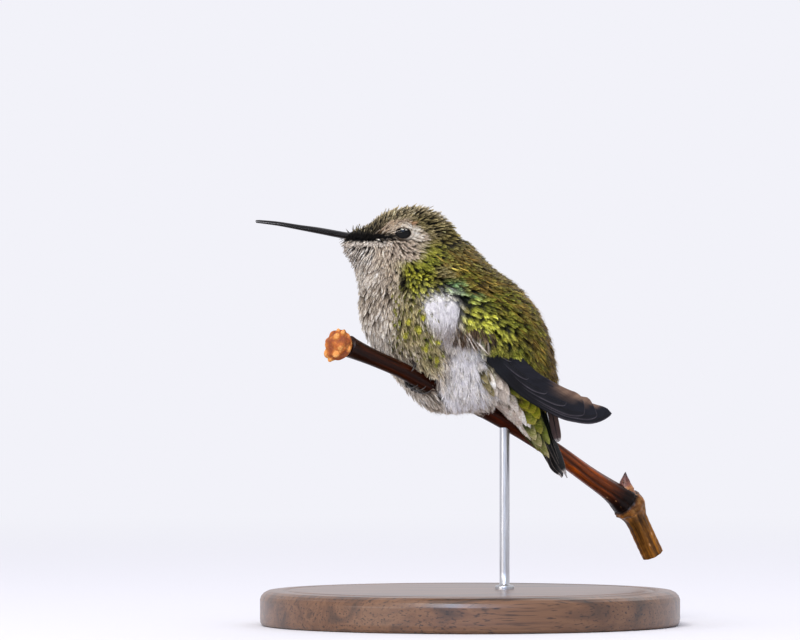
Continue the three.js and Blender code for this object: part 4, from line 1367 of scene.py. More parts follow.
twigLook = {
    "stations": 620, "around": 80, "ridge": 0.035, "groove": 0.07,
    "grooves": [(1.1, 0.16), (4.45, 0.12), (5.1, 0.1)],    # bearing and width of the sunken lines
    "streakWidth": 2 / 3, "poreSpacing": 4 / 3, "pore": "#b98a5c", "poresFrom": (44.0, 50.0),
    "mould": "#77747a", "crack": "#a87c46", "sunken": "#120805",
    "tones": [    # bark tone along the twig (x, colour)
        (-28, "#200a03"), (-20, "#220b03"), (-8, "#280d04"), (6, "#361308"), (14, "#4e200e"),
        (22, "#7a3b18"), (31, "#642f12"), (33.8, "#2e1309"), (34.9, "#140806"), (36.6, "#120705"),
        (37.0, "#6a4220"), (38.4, "#7a5128"), (39.2, "#66431b"), (41, "#784d1e"), (44, "#744b1d"),
    ],
}


def toneAlong(stops, at):
    # colours between those of the stops
    return columnsAt(np.array([(place, *linear(colour)) for place, colour in stops]), at)[..., 1:]


def barkMaterial():
    # thin young bark: smooth and a little shiny, streaked along its length, with pale pores
    material, tree, body = newMaterial("smoothTwigBark", {
        "Roughness": 0.34, "IOR": 1.48, "Specular IOR Level": 0.12})
    paint = addNode(tree, "Attribute", {"attribute_name": "Paint"})
    places = addNode(tree, "Attribute", {"attribute_name": "Bark"}).outputs["Vector"]
    drawn = addNode(tree, "Mapping", {"Scale": (1.0, 1.0, 0.09)}, {"Vector": places})
    streaks = addNode(tree, "TexNoise", {
        "Scale": 1 / twigLook["streakWidth"], "Detail": 5.0, "Roughness": 0.6}, {"Vector": drawn})
    shade = addNode(tree, "ValToRGB", {"stops": [(0.25, "#707070"), (0.5, "#ffffff")]}, {"Fac": streaks})
    dark = addNode(tree, "MixRGB", {"blend_type": "MULTIPLY", "Fac": 1.0},
                   {"Color1": paint, "Color2": shade})
    light = addNode(tree, "HueSaturation", {"Value": 2.6, "Saturation": 1.05}, {"Color": paint})
    lines = addNode(tree, "ValToRGB", {"stops": [(0.52, "#000000"), (0.7, "#ffffff")]}, {"Fac": streaks})
    streaked = addNode(tree, "MixRGB", None, {"Fac": lines, "Color1": dark, "Color2": light})
    short = addNode(tree, "Mapping", {"Scale": (1.0, 1.0, 0.45)}, {"Vector": places})
    pores = addNode(tree, "TexVoronoi", {"Scale": 1 / twigLook["poreSpacing"]}, {"Vector": short})
    dots = addNode(tree, "ValToRGB", {"stops": [(0.09, "#ffffff"), (0.15, "#000000")]}, {"Fac": pores})
    # the pores begin beyond the bird
    start, end = twigLook["poresFrom"]
    along = addNode(tree, "SeparateXYZ", None, {0: places}).outputs["Z"]
    beyond = addNode(tree, "MapRange", {"From Min": start, "From Max": end, "To Max": 0.75},
                     {"Value": along})
    weight = addNode(tree, "Math", {"operation": "MULTIPLY"}, {0: dots, 1: beyond})
    pored = addNode(tree, "MixRGB", {"Color2": rgba(twigLook["pore"])}, {"Fac": weight, "Color1": streaked})
    bump = addNode(tree, "Bump", {"Strength": 0.6, "Distance": 0.12 * millimetre}, {"Height": streaks})
    tree.links.new(pored.outputs["Color"], body.inputs["Base Color"])
    tree.links.new(bump.outputs["Normal"], body.inputs["Normal"])
    return material


def makeTwig():
    at = np.linspace(0, len(twigRows) - 1, twigLook["stations"])
    q = spline(twigRows, at)
    line, radius, x = q[:, :3], q[:, 3:], q[:, :1]
    angle = np.linspace(0, 2 * np.pi, twigLook["around"], endpoint=False)[None]
    steps = np.linalg.norm(np.gradient(line, axis=0), axis=1)
    along = (np.cumsum(steps) - steps[0])[:, None]
    # ridges and sunken lines run along the shoot, stronger toward the node
    strong = 0.4 + 0.8 * smooth(5, 22, x)
    turn = angle + 0.25 * np.sin(along * 0.11)
    fine = 0.6 * np.sin(9 * turn + 2 + 0.2 * np.sin(along * 0.3))
    relief = twigLook["ridge"] * (np.sin(5 * turn + 0.5) + fine)
    for place, width in twigLook["grooves"]:
        off = np.angle(np.exp(1j * (turn - place)))
        relief = relief - twigLook["groove"] * np.exp(-(off / width) ** 2)
    relief = relief * strong
    # the rough collar round the old joint
    collar = np.exp(-((x - 37.6) / 0.9) ** 4)
    rough = wobble(np.stack([np.cos(angle) * 3 + 0 * along, np.sin(angle) * 3 + 0 * along,
                             along + 0 * angle], -1), 1.6, 3.0)
    relief = relief + collar * (0.12 * rough + 0.1) + 0.04 * rough * smooth(33, 35, x)
    relief = relief - 0.3 * np.exp(-((x - 36.55) / 0.28) ** 2)
    rings = tubeRings(line, radius + relief, twigLook["around"])
    colours = np.broadcast_to(toneAlong(twigLook["tones"], x), rings.shape)
    # whitish mould on the sheltered side of the joint, ochre in the fresh cracks
    mould = smooth(34.9, 35.6, x) * smooth(36.9, 36.6, x) * smooth(0.0, 0.6, rough)
    mould = 0.5 * mould * smooth(0.2, 0.8, np.cos(angle - 0.5))
    colours = mix(colours, linear(twigLook["mould"]), mould)
    colours = mix(colours, linear(twigLook["crack"]), 0.4 * collar * smooth(0.1, 0.7, -rough))
    # painted shade: the sunken lines are darker the deeper they go
    colours = mix(colours, linear(twigLook["sunken"]), 0.6 * np.clip(-relief / 0.09, 0, 1) * (1 - collar))
    places = np.stack([radius * np.cos(angle), radius * np.sin(angle), along + 0 * angle], -1)
    twig = loftObject("twig_bark", [rings], {"Paint": [withEnds(colours)], "Bark": [withEnds(places)]})
    settle(twig, barkMaterial(), "bark", "perch_twig")


callusLook = {
    "centre": (-29.9, -12.75, 56.0), "axis": (-0.9, -0.36, 0.25), "radius": 2.8, "flat": 0.82,
    "lumps": 60, "seed": 5, "rings": 150, "around": 200, "grainWidth": 0.3125,
    "dark": "#8c4c12", "mid": "#b87426", "light": "#eec27c",
}


def makeCallus():
    # healed wood: crumbly orange granules
    material = makeMaterial("crumblyWoundCork", {
        "Roughness": 0.7, "IOR": 1.45, "Subsurface Weight": 0.15, "Subsurface Scale": 0.001,
    }, [{"pattern": "Voronoi", "size": callusLook["grainWidth"],
         "stops": [(0.0, "#ffffff"), (0.6, "#e6bd8c")], "relief": (0.7, 0.12)}])
    own = np.random.default_rng(callusLook["seed"])
    lumps = unit(own.normal(size=(callusLook["lumps"], 3)))
    heights = own.uniform(0.0, 1.0, len(lumps))
    widths = own.uniform(0.14, 0.34, len(lumps))
    axis = unit(np.array(callusLook["axis"]))
    polar = np.linspace(0.01, math.pi - 0.01, callusLook["rings"])[:, None]
    bearing = np.linspace(0, 2 * np.pi, callusLook["around"], endpoint=False)[None]
    ways = awayFrom(callusLook["axis"], polar, bearing)
    far = np.arccos(np.clip(ways @ lumps.T, -1, 1))
    bumps = (heights * np.exp(-(far / widths) ** 2)).max(-1)
    forward = dot(ways, axis)
    uneven = 0.3 * wobble(ways, 3.2, 1.0)
    radius = (callusLook["radius"] + (bumps + uneven) * smooth(-0.6, 0.0, forward)
              + 0.2 * np.clip(forward, 0, 1))
    ways = ways - axis * ((1 - callusLook["flat"]) * forward)[..., None]
    points = np.array(callusLook["centre"]) + ways * radius[..., None]
    # painted light: the tops of the lumps are painted pale as a highlight, the hollows between them dark as
    # painted shade
    shade = np.clip(bumps / 0.5, 0, 1)
    tone = hexTones(callusLook)
    colours = mix(tone["dark"], tone["mid"], smooth(0.0, 0.5, shade))
    colours = mix(colours, tone["light"], smooth(0.55, 1.0, shade) * 0.8)
    colours = mix(colours, tone["light"], 0.3 * smooth(0.2, 0.8, wobble(points, 1.1, 4.0)))
    callus = loftObject("twig_callus", [points], {"Paint": [withEnds(colours)]})
    settle(callus, material, "callus", "perch_callus")


budLook = {
    "base": (36.6, 15.0, 25.4), "tip": (36.2, 14.6, 30.1), "rings": 90, "around": 64, "edge": "#c99a6a",
    "tones": [(0.0, "#6a4020"), (0.25, "#a5662f"), (0.4, "#c0824a"), (0.5, "#8a5344"), (0.8, "#6b3a34"),
              (1.0, "#3c1d1a")],
}


def makeBud():
    # bud scales: dry, faintly shiny, laid over one another
    material = makeMaterial("dryBudScales", {"Roughness": 0.45, "IOR": 1.48}, [
        {"pattern": "Noise", "size": 0.5, "stretch": (2, 2, 0.5), "settings": {"Detail": 4.0},
         "stops": [(0.3, "#9a8f88"), (0.7, "#ffffff")], "relief": (0.5, 0.08)}])
    base, tip = np.array(budLook["base"]), np.array(budLook["tip"])
    share = np.linspace(0.0, 1, budLook["rings"])
    angle = np.linspace(0, 2 * np.pi, budLook["around"], endpoint=False)
    radius = 0.06 + 2.05 * (1 - share ** 1.25) * (1 - 0.12 * share)
    # three pairs of scales: each edge stands a little proud of the one above it
    line = base + (tip - base) * share[:, None] + np.array([0.25, 0, 0]) * (share ** 3)[:, None]
    height = share[:, None] + 0.07 * np.abs(np.sin(angle * 1.5 + 0.4))[None]
    step = np.mod(height * 3.2, 1)
    radii = radius[:, None] * (1 + 0.09 * (1 - step) * smooth(1.0, 0.9, share)[:, None])
    rings = tubeRings(line, radii, budLook["around"])
    edge = 0.35 * smooth(0.14, 0.02, step) * smooth(0.9, 0.7, share)[:, None]
    colours = mix(toneAlong(budLook["tones"], height), linear(budLook["edge"]), edge)
    settle(loftObject("twig_bud", [rings], {"Paint": [withEnds(colours)]}), material, "bark", "perch_bud")


makeTwig()
makeCallus()
makeBud()
print("perch is made")


# profiles from the middle outward and up: radius, height
standLook = {
    "profile": [(0.5, 0.0), (40.9, 0.0), (41.6, 0.15), (41.9, 0.6), (42.0, 1.4), (42.0, 5.2), (41.75, 5.9),
                (41.2, 6.5), (40.4, 6.9), (39.6, 7), (37.6, 7), (37.3, 6.82), (36.9, 6.75),
                (36.5, 6.82), (36.2, 7), (2.4, 7), (0.5, 7)],
    "rod": [(0.2, 6.0), (1.9, 6.0), (1.9, 7.55), (1.75, 7.75), (1.15, 7.85), (1.0, 8.0), (1.0, 38.0),
            (1, 39.4), (0.9, 40.2), (0.2, 40.4)],
    "rodPlace": (8.0, 3.2), "around": 288, "rodAround": 72,
}


def lathe(profile, around, centre=(0, 0)):
    # turned form; each straight of the profile gets extra rings near its ends so that edges stay crisp
    rows = []
    for (r0, z0), (r1, z1) in zip(profile[:-1], profile[1:]):
        rows += [(r0 + (r1 - r0) * k, z0 + (z1 - z0) * k) for k in (0.0, 0.08, 0.5, 0.92)]
    rows = np.array(rows + [profile[-1]])
    angle = np.linspace(0, 2 * np.pi, around, endpoint=False)
    return np.stack([centre[0] + rows[:, :1] * np.cos(angle), centre[1] - rows[:, :1] * np.sin(angle),
                     rows[:, 1:] + 0 * angle], -1)


def makeStand():
    # turned hardwood under a thin satin varnish: long grain across the disc with small dark vessels
    wood = makeMaterial("satinVarnishedWalnut", {
        "Roughness": 0.4, "IOR": 1.5, "Coat Weight": 0.35, "Coat Roughness": 0.22,
    }, [{"pattern": "Noise", "size": 4.545, "stretch": (0.06, 1, 1),
         "settings": {"Detail": 5.0, "Distortion": 0.8},
         "stops": [(0.3, "#3d2616"), (0.45, "#5e3d25"), (0.55, "#6d4a2f"), (0.7, "#4a2f1c")]},
        {"pattern": "Noise", "size": 0.3846, "stretch": (0.035, 1, 1), "settings": {"Detail": 2.0},
         "stops": [(0.3, "#80716a"), (0.45, "#ffffff")], "relief": (0.25, 0.05)}], None)
    base = loftObject("base_turned", [lathe(standLook["profile"], standLook["around"])])
    settle(base, wood, "stand_wood", "stand_base")
    # drawn steel rod, brushed along its length
    steel = makeMaterial("brushedSteelRod", {"Metallic": 1.0, "Roughness": 0.3}, [
        {"pattern": "Noise", "size": 1 / 6, "stretch": (1, 1, 0.03), "settings": {"Detail": 3.0},
         "stops": [(0.3, "#a6a8ab"), (0.7, "#c9cacd")], "relief": (0.2, 0.02)}], None)
    rings = lathe(standLook["rod"], standLook["rodAround"], standLook["rodPlace"])
    rod = loftObject("rod_steel", [rings])
    settle(rod, steel, "stand_metal", "stand_rod")


makeStand()
print("stand is made")


# what all contour feathers share; each kind below changes what differs
contour = {
    "length": 4.6, "halfWidth": 0.95,    # mm
    "rows": 3, "columns": 2, "core": 0.28, "widest": 0.45, "bluntness": 2.6, "dome": 0.15,
    "barbs": 13, "firstBarb": 0.36, "reach": 0.42, "barbWidth": 0.1,
    "lift": 0.35, "sink": 0.9, "stiff": 0.38, "yaw": 0.16, "roll": 0.18, "ragged": 0.06, "loose": 0.1,
    "shade": 0.2, "barbShade": 0.5, "openFrom": (0.5, 0.92), "rim": (0.6, 1.0), "barbFringe": 0.62,
}
crownFeather = {
    **contour, "length": 2.6, "halfWidth": 0.3, "core": 0.55, "widest": 0.4, "bluntness": 1.4,
    "barbs": 7, "firstBarb": 0.4, "barbWidth": 0.06, "lift": 0.5, "rise": -0.85, "stiff": 0.85,
    "roll": 0.3, "yaw": 0.18, "shade": 0.5, "barbShade": 0.55, "rim": (0.35, 0.85),
    "openFrom": (0.55, 0.95), "barbFringe": 0.72,
}
faceFeather = {
    **contour, "length": 1.9, "halfWidth": 0.34, "core": 0.3, "barbs": 9, "barbWidth": 0.05,
    "lift": 0.14, "rise": -0.1, "stiff": 0.3, "shade": 0.18, "barbShade": 0.3, "openFrom": (0.3, 0.75),
}
throatFeather = {
    **contour, "length": 2.6, "halfWidth": 0.22, "core": 0.6, "bluntness": 1.6, "barbs": 6,
    "firstBarb": 0.45, "barbWidth": 0.06, "lift": 0.45, "rise": -0.3, "stiff": 0.85, "shade": 0.38,
    "barbShade": 0.35, "openFrom": (0.4, 0.6), "barbFringe": 0.6,
}
backFeather = {
    **contour, "length": 3.9, "halfWidth": 0.75, "rows": 4, "core": 0.5, "widest": 0.58,
    "bluntness": 4.0, "barbWidth": 0.09, "lift": 0.32, "reach": 0.32, "shade": 0.28, "barbShade": 0.3,
    "openFrom": (0.58, 0.95), "rim": (0.5, 1.0), "barbFringe": 0.5, "roll": 0.22, "yaw": 0.22,
}
armFeather = {
    **backFeather, "length": 2.3, "halfWidth": 0.55, "barbs": 9, "lift": 0.24, "barbWidth": 0.07,
    "shade": 0.32, "openFrom": (0.45, 0.85),
}
downFeather = {
    **contour, "length": 4.2, "halfWidth": 0.9, "core": 0, "barbs": 15, "firstBarb": 0.35,
    "reach": 0.7, "barbWidth": 0.06, "lift": 0.55, "stiff": 0.65, "yaw": 0.22, "ragged": 0.07,
    "loose": 0.18, "shade": 0.09, "barbShade": 0.2, "openFrom": (0.0, 0.5),
}
# single thin strands that lie over the coat like hair
hairStrand = {
    **contour, "length": 4.4, "halfWidth": 0.4, "core": 0, "barbs": 2, "firstBarb": 0.9,
    "reach": 0.85, "lift": 0.5, "sink": 0.5, "stiff": 0.5, "yaw": 0.26, "ragged": 0.05, "shade": 0.55,
    "barbShade": 0.4, "openFrom": (0.0, 0.3), "barbFringe": 0.5,
}
# round yellow-green feathers of the breast side
spangle = {
    **contour, "length": 2.7, "rows": 5, "columns": 4, "core": 0.55, "widest": 0.7, "bluntness": 4.0,
    "barbs": 12, "firstBarb": 0.55, "lift": 0.25, "rise": 0.5, "sink": 0.6, "stiff": 0.2,
    "openFrom": (0.4, 0.7), "rim": (0.8, 1.0), "barbFringe": 0.3, "shade": 0.12, "yaw": 0.1,
    "roll": 0.05, "barbShade": 0.45,
}
# closed feathers under the tail
covert = {
    **contour, "length": 7.5, "halfWidth": 1.5, "rows": 7, "columns": 4, "core": 0.93, "widest": 0.4,
    "bluntness": 3.2, "dome": 0.3, "barbs": 16, "firstBarb": 0.3, "reach": 0.16, "barbWidth": 0.08,
    "stiff": 0.4, "yaw": 0.06, "roll": 0.08, "ragged": 0.04, "loose": 0.04, "shade": 0.1,
    "barbShade": 0.16, "openFrom": (0.45, 0.8), "rim": (0.7, 0.95), "barbFringe": 1.0,
}


def headness(p):
    return smooth(74.5, 77.5, p[..., 2] + 0.35 * (-6.0 - p[..., 0]))


def faceness(p):
    # 1 on the face and throat, fading out onto the breast
    return smooth(68.5, 71.5, p[..., 2] + 0.15 * (p[..., 0] + 18))


def throatShare(p):
    return smooth(-19.5, -21.5, p[..., 0] - 0.3 * (p[..., 2] - 74))


def fromBill(p):
    return np.linalg.norm(p - [-25.5, 0, 77.5], axis=-1)


def outward(p, y):
    # whether the place lies further than y mm from the middle plane
    return np.abs(p[..., 1]) > y


def softPatch(p, x0, z0, dx, dz, power=4):
    return np.exp(-np.abs((p[..., 0] - x0) / dx) ** power - np.abs((p[..., 2] - z0) / dz) ** power)


# the white patches by height z: middle x, and half width
shoulderMiddle = np.array([(57.6, -7.8), (60.0, -7.9), (62.0, -8.7), (64.2, -9.1), (66.6, -9.8)])
shoulderHalf = np.array([(57.6, 0.8), (58.5, 1.3), (60.0, 1.7), (62.0, 2.5), (63.3, 3.7), (64.4, 4.1),
                         (65.3, 3.3), (66.2, 2), (67, 0.6)])
legMiddle = np.array([(44, -3.2), (46, -3.6), (48.2, -3.8), (50.8, -3.6), (54, -4.2), (56.5, -4.8)])
legHalf = np.array([(44, 2.9), (46, 3.1), (48.2, 2.3), (50.8, 2.1), (54, 1.5), (56.5, 0.9)])


def whiteShoulder(p):
    # for roots: the threads show about 1 mm further down
    x, z = p[..., 0], p[..., 2] - 1.0
    off = np.abs(x - np.interp(z, *shoulderMiddle.T)) / np.interp(z, *shoulderHalf.T)
    return smooth(1.15, 0.75, off) * smooth(57.2, 59.5, z) * smooth(67, 66, z) * outward(p, 6)


def whiteLegs(p):
    x, z = p[..., 0] + 0.2, p[..., 2] - 2.2
    off = np.abs(x - np.interp(z, *legMiddle.T)) / np.interp(z, *legHalf.T)
    return smooth(1.15, 0.7, off) * smooth(42.5, 44.0, z) * smooth(56.8, 55.0, z) * outward(p, 2)


def onArm(p):
    # the scaled part of the folded wing
    return softPatch(p, -12.3, 69.0, 4.6, 2.9, 6) * outward(p, 5)


def onFace(p):
    return (1 - upperSide(p)) * faceness(p)


def onBack(p):
    return upperSide(p) * (1 - headness(p))


def coverHead():
    t, theta = scatter((0.3, 6.9), lambda p: 0.34 + 0.01 * fromBill(p),
                       lambda p, a: upperSide(p) * headness(p))
    size = np.clip(0.45 + 0.05 * fromBill(bodyAt(t, theta)), 0.5, 1.05)
    layFeathers("coat_crown", bodyBarbs, crownFeather, t, theta, size)
    t, theta = scatter((0.5, 6.5), lambda p: 0.21 + 0.01 * fromBill(p),
                       lambda p, a: onFace(p) * (1 - throatShare(p)))
    size = np.clip(0.4 + 0.055 * fromBill(bodyAt(t, theta)), 0.45, 1.4)
    layFeathers("coat_face", bodyBarbs, faceFeather, t, theta, size)
    t, theta = scatter((0.2, 5.5), 0.47, lambda p, a: onFace(p) * throatShare(p))
    size = np.clip(0.75 + 0.04 * fromBill(bodyAt(t, theta)), 0.5, 1.1)
    layFeathers("coat_throat", bodyBarbs, throatFeather, t, theta, size)


loreFeather = {**faceFeather, "length": 1.15, "rise": 0.0, "sink": 0.5, "lift": 0.12}
crestFeather = {**crownFeather, "length": 2.8, "halfWidth": 0.36, "lift": 0.6, "rise": -0.7, "stiff": 1.0}


def loreChance(p, a):
    # the band between the bill and the eye
    below = smooth(78.15, 77.85, p[..., 2] + 0.05 * (p[..., 0] + 25))
    return smooth(76.3, 76.6, p[..., 2]) * below * (p[..., 0] < -17.6) * (a > 30) * (a < 150)


def loreWay(p, turn):
    # back toward the eye along the gape, down below it
    back = smooth(77.0, 77.2, p[..., 2])
    return alongSide(-0.4 + 1.35 * back + turn, -0.92 + 0.85 * back)


def lorePaint(p):
    black = smooth(76.9, 77.15, p[..., 2])
    return [mix(np.broadcast_to(pale, p.shape), dark, black)
            for pale, dark in zip(tones["throat"], tones["blackMaskAndShade"])]


def coverLore():
    # short black feathers between bill and eye, and the pale edge of the chin below them
    t, theta = scatter((0.25, 6.0), 0.25, loreChance)
    layFeathers("coat_lore", bodyBarbs, loreFeather, t, theta, way=loreWay, paint=lorePaint)


def crestChance(p, a):
    top = smooth(80.6, 82.2, p[..., 2] + 0.35 * np.maximum(-15 - p[..., 0], 0))
    return headness(p) * upperSide(p) * top * (a < 60)


def coverCrest():
    # longer feathers that stand out of the crown's outline
    t, theta = scatter((2.0, 6.2), 0.95, crestChance)
    layFeathers("coat_crest", bodyBarbs, crestFeather, t, theta)


def breastChance(p, a):
    return ((1 - upperSide(p)) * (1 - faceness(p)) * (1 - 0.7 * whiteLegs(p))
            * (1 - whiteShoulder(p)))


def coverFront():
    t, theta = scatter((3.5, 11.8), 0.6, breastChance)
    size = np.clip(0.62 + 0.03 * (fromBill(bodyAt(t, theta)) - 9), 0.6, 1.0)
    bothSides("coat_breast", bodyBarbs, contour, t, theta, size)


def downBack(p):
    # 0 on the neck, 1 from the shoulders down
    return smooth(76.0, 66.0, p[..., 2])


def backChance(p, a):
    return onBack(p) * (1 - onArm(p)) * (1 - whiteShoulder(p)) * smooth(43.5, 45.5, p[..., 2])


def strandChance(p, a):
    # thickest along the spine
    below = smooth(-6.0, -3.0, p[..., 0] - 0.6 * (66 - p[..., 2]))
    return onBack(p) * smooth(11.5, 5.0, np.abs(p[..., 1])) * smooth(44.0, 47.0, p[..., 2]) * below


def strandPaint(p):
    # bronze to gold, each strand a little different
    deep, openTone, fringe = markings(p)
    gold = mix(linear("#40300e"), linear("#ab8740"), rng.uniform(0, 1, len(p)) ** 1.3)
    return gold * 0.3, mix(openTone, gold, 0.75), mix(fringe, gold, 0.8)


def coverBack():
    t, theta = scatter((4.8, 13.4), lambda p: 0.5 + 0.2 * downBack(p), backChance)
    size = 0.62 + 0.42 * downBack(bodyAt(t, theta))
    bothSides("coat_back", sheenBarbs, backFeather, t, theta, size)
    t, theta = scatter((5.5, 9.0), 0.55, lambda p, a: onArm(p))
    bothSides("coat_arm", sheenBarbs, armFeather, t, theta)
    t, theta = scatter((5.5, 13.0), 0.48, strandChance)
    layFeathers("coat_back_strands", sheenBarbs, hairStrand, t, theta, paint=strandPaint)


shoulderDown = {**downFeather, "rise": 0.15, "yaw": 0.16}
armFringe = {**hairStrand, "length": 3.0, "barbs": 3, "halfWidth": 0.45, "rise": 0.3, "barbWidth": 0.07}
armQuill = {**hairStrand, "length": 4.0, "barbs": 1, "halfWidth": 0.3, "rise": 0.6, "barbWidth": 0.26,
            "shade": 0.1, "lift": 0.7}
armQuillPlaces = [(-4.4, 58.4), (-3.8, 58.2), (-3.1, 57.6)]


def shoulderWay(p, turn):
    # strands start wide at the top and draw together below
    lean = -0.13 * (p[..., 0] + 9.3) + turn
    return alongSide(0.08 + lean, -1.0)


def legWay(p, turn):
    # strands spread from the top of the thigh
    return alongSide(0.13 * (p[..., 0] + 4.5) + 0.12 + turn, -1.0)


def whitePaint(p):
    # white, greyer and browner at the lower end of the shoulder tuft
    brown = smooth(62.0, 57.6, p[..., 2]) * smooth(54.5, 56.0, p[..., 2]) * 0.7
    return [mix(np.broadcast_to(white, p.shape), dull, brown)
            for white, dull in zip(tones["white"], tones["brownHair"])]


def fringePaint(p):
    # dark hairs with a few pale ones among them; their darkness is partly painted shade under the folded
    # arm
    pale = (rng.uniform(0, 1, len(p)) > 0.88).astype(float) * 0.6
    return [mix(linear(dark), linear(light), pale)
            for dark, light in (("#0c0805", "#8a7c70"), ("#3a2c20", "#d8ccc0"), ("#7a6653", "#efe6dd"))]


def plainPaint(*colours):
    # the same root, open and fringe colours for every feather
    return lambda p: [np.broadcast_to(linear(colour), p.shape) for colour in colours]


def coverDown():
    t, theta = scatter((6.0, 10.5), 0.46, lambda p, a: whiteShoulder(p))
    bothSides("down_shoulder", downBarbs, shoulderDown, t, theta, way=shoulderWay, paint=whitePaint)
    t, theta = scatter((8.0, 12.8), 0.5, lambda p, a: whiteLegs(p))
    bothSides("down_leg", downBarbs, downFeather, t, theta, way=legWay, paint=whitePaint)
    # dark hair-like fringe that hangs from the folded arm over the leg, partly standing in as painted shade
    # under the arm
    t, theta = scatter((7.5, 11.0), 0.4, lambda p, a: softPatch(p, -3.6, 59.0, 3.6, 1.3) * outward(p, 6))
    layFeathers("fringe_arm", bodyBarbs, armFringe, t, theta, paint=fringePaint,
                way=lambda p, turn: alongSide(0.22 + turn, -1.0))
    # a few pale quills that hang free below it
    t, theta = rootsAt(armQuillPlaces)
    layFeathers("quills_arm", bodyBarbs, armQuill, t, theta, guard=False,
                way=lambda p, turn: alongSide(0.62 + turn, -0.78),
                paint=plainPaint("#6e645c", "#d9d2cc", "#f4f0ec"))


# places on the left side, to find the one nearest to a point seen from the side
lookup = {"t": np.linspace(0.2, 16.8, 700), "theta": np.linspace(math.pi + 0.02, 2 * math.pi - 0.02, 420)}


def rootsAt(wanted):
    # the nearest places on the left side for points seen from the side (x, z), then on the right
    t, theta = np.meshgrid(lookup["t"], lookup["theta"], indexing="ij")
    p = bodyAt(t, theta)
    found = []
    for x, z in wanted:
        k = np.argmin((p[..., 0] - x) ** 2 + (p[..., 2] - z) ** 2 + 0.02 * (p[..., 1] > -3))
        found.append((t.flat[k], theta.flat[k]))
    t, theta = np.array(found).T
    return np.concatenate([t, t]), np.concatenate([theta, 2 * np.pi - theta])


# where the round yellow-green spots show (x, z); their roots lie higher
spanglePlaces = [(-14.9, 60.6), (-13.2, 59.2), (-15.5, 57.8), (-9.2, 56.8), (-12.0, 55.4), (-9.6, 53.0),
                 (-12.2, 61.6)]
fleck = {**spangle, "length": 1.8, "halfWidth": 0.42, "columns": 2, "rows": 3, "rise": 0.15}


def fleckChance(p, a):
    return softPatch(p, -13.6, 62.0, 3.4, 5.4) * 0.8 * (1 - whiteShoulder(p)) * outward(p, 3)


def coverSpangles():
    t, theta = rootsAt([(x - 0.8, z + 1.7) for x, z in spanglePlaces])
    layFeathers("coat_spangles", sheenBarbs, spangle, t, theta, guard=False,
                paint=plainPaint("#4a4420", "#a7a433", "#a39a58"))
    # small olive and green flecks through the breast side
    t, theta = scatter((6.0, 10.5), 0.95, fleckChance)
    tone = mix(linear("#6a6538"), linear("#878a3f"), rng.uniform(0, 1, len(t)))
    layFeathers("coat_flecks", sheenBarbs, fleck, t, theta, guard=False,
                paint=lambda p: [tone * 0.4, tone, tone * 1.25])


# feathers under the tail, laid from the tail forward: x and z of the tip, length, half width, tone
underTailRows = [
    (14.5, 33.6, 6.5, 1.2, "pale"), (13.6, 34.4, 6.5, 1.5, "pale"), (12.5, 35.6, 6.5, 1.4, "pale"),
    (13.1, 38.4, 5.6, 1.3, "fresh"), (12.1, 38.8, 5.6, 1.6, "fresh"), (10.8, 39.4, 5.6, 1.5, "fresh"),
    (12.9, 41.2, 5, 1.3, "yellow"), (11.9, 41.6, 5, 1.6, "yellow"), (10.2, 42, 5, 1.5, "yellow"),
    (10.6, 44.2, 4.4, 1.4, "yellow"), (8.4, 45.2, 4.4, 1.3, "fresh"),
    (11.3, 36.6, 9, 0.75, "cream"), (10, 38.8, 8.5, 0.85, "cream"), (8.4, 41, 8, 1, "cream"),
    (6.6, 43, 7.5, 1.1, "cream"), (4.8, 44.6, 7, 1.1, "grey"), (5.6, 45.6, 6, 0.9, "grey"),
    (3.2, 45.6, 6, 1.1, "grey"), (3.8, 46.8, 5, 0.9, "grey"), (1.8, 47.6, 5, 1, "cream"),
    (2.2, 45.8, 4, 0.7, "olive"), (1.2, 47.2, 4, 0.8, "olive"), (0.5, 48.8, 3.6, 0.7, "olive"),
]
underTailTones = {
    "pale": ("#3a4020", "#8b9050", "#d4cca0"),
    "fresh": ("#262b0c", "#6f7a22", "#a8a24c"),
    "yellow": ("#23270a", "#8e951f", "#b6ac3c"),
    "cream": ("#d2c7bc", "#fbf4ec", "#fffaf4"),
    "grey": ("#a89d93", "#e0d6cc", "#efe7df"),
    "olive": ("#2a2616", "#7d7450", "#aaa07c"),
}
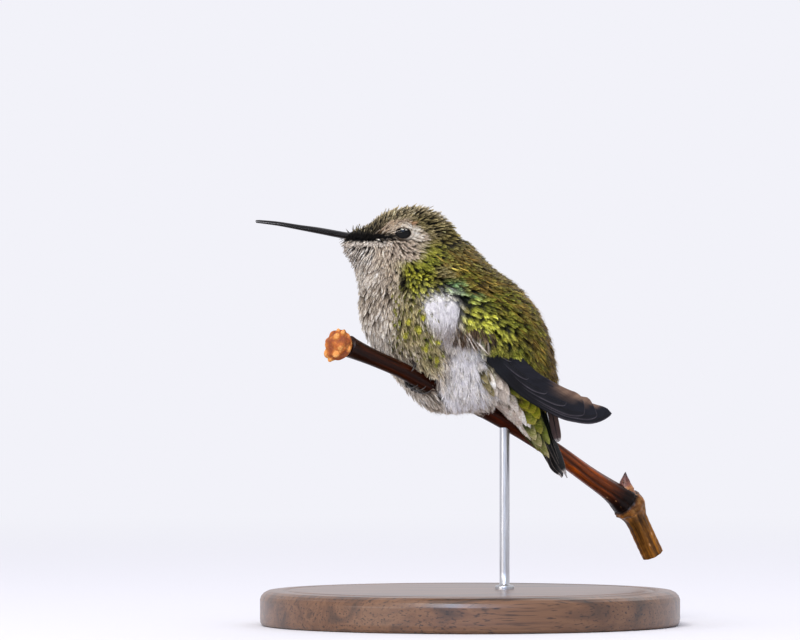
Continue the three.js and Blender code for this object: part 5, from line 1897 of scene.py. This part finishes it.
largeCovert = {**covert, "yaw": 0.03, "lift": 0.08, "dome": 0.2}
# by height z: where the green side begins, and the edges of the coverts toward the tail and the belly
greenSide = np.array([(36, 12.2), (40, 10.0), (44.5, 7.6), (47.5, 5.2), (52, 2.6)])
covertEnd = np.array([(34, 11.8), (38, 10.9), (44, 11.2), (50, 12.0)])
covertStart = np.array([(42, 3.0), (52, 1.5)])


def underTailPaint(p):
    # cream below, green on the side
    side = smooth(-0.5, 0.8, p[..., 0] - np.interp(p[..., 2], *greenSide.T))
    return [mix(linear(pale), linear(green), side)
            for pale, green in (("#d2c8be", "#23280f"), ("#fbf3ec", "#747f2c"), ("#fbeee0", "#a0a65a"))]


def covertChance(p, a):
    x, z = p[..., 0], p[..., 2]
    return (z < 52) * (x < np.interp(z, *covertEnd.T)) * (x > np.interp(z, *covertStart.T)) * 1.0


def coverTail():
    t, theta = scatter((11.0, 16.0), 0.95, covertChance)
    order = np.argsort(-t)
    z = bodyAt(t, theta)[..., 2]
    size = 0.6 + 0.3 * smooth(48, 41, z) - 0.2 * smooth(40, 36, z)
    layFeathers("coat_undertail", bodyBarbs, covert, t[order], theta[order], size[order],
                paint=underTailPaint, over=-0.55)
    # the large feathers whose edges show one over another
    t, theta = rootsAt([(x - 0.5 * length, z + 0.87 * length) for x, z, length, _, _ in underTailRows])
    _, _, length, half, name = zip(*underTailRows * 2)
    size = np.array(length) / covert["length"]
    wide = np.array(half) / covert["halfWidth"] / size
    tone = [np.array([linear(underTailTones[kind][k]) for kind in name]) for k in range(3)]
    place = np.tile(np.arange(len(underTailRows)), 2)
    height = 0.3 + 0.35 * place / len(underTailRows) + 0.5 * (np.array(name) == "olive")
    layFeathers("coat_undertail_large", bodyBarbs, largeCovert, t, theta, size, guard=False,
                way=lambda p, turn: alongSide(0.5 + turn, -0.87 + 0.3 * turn), paint=lambda p: tone,
                over=height[:, None], wide=wide)


coverHead()
coverLore()
coverCrest()
coverFront()
coverBack()
coverDown()
coverSpangles()
coverTail()
print("coat is laid:", sum(coatTotals), "triangles")
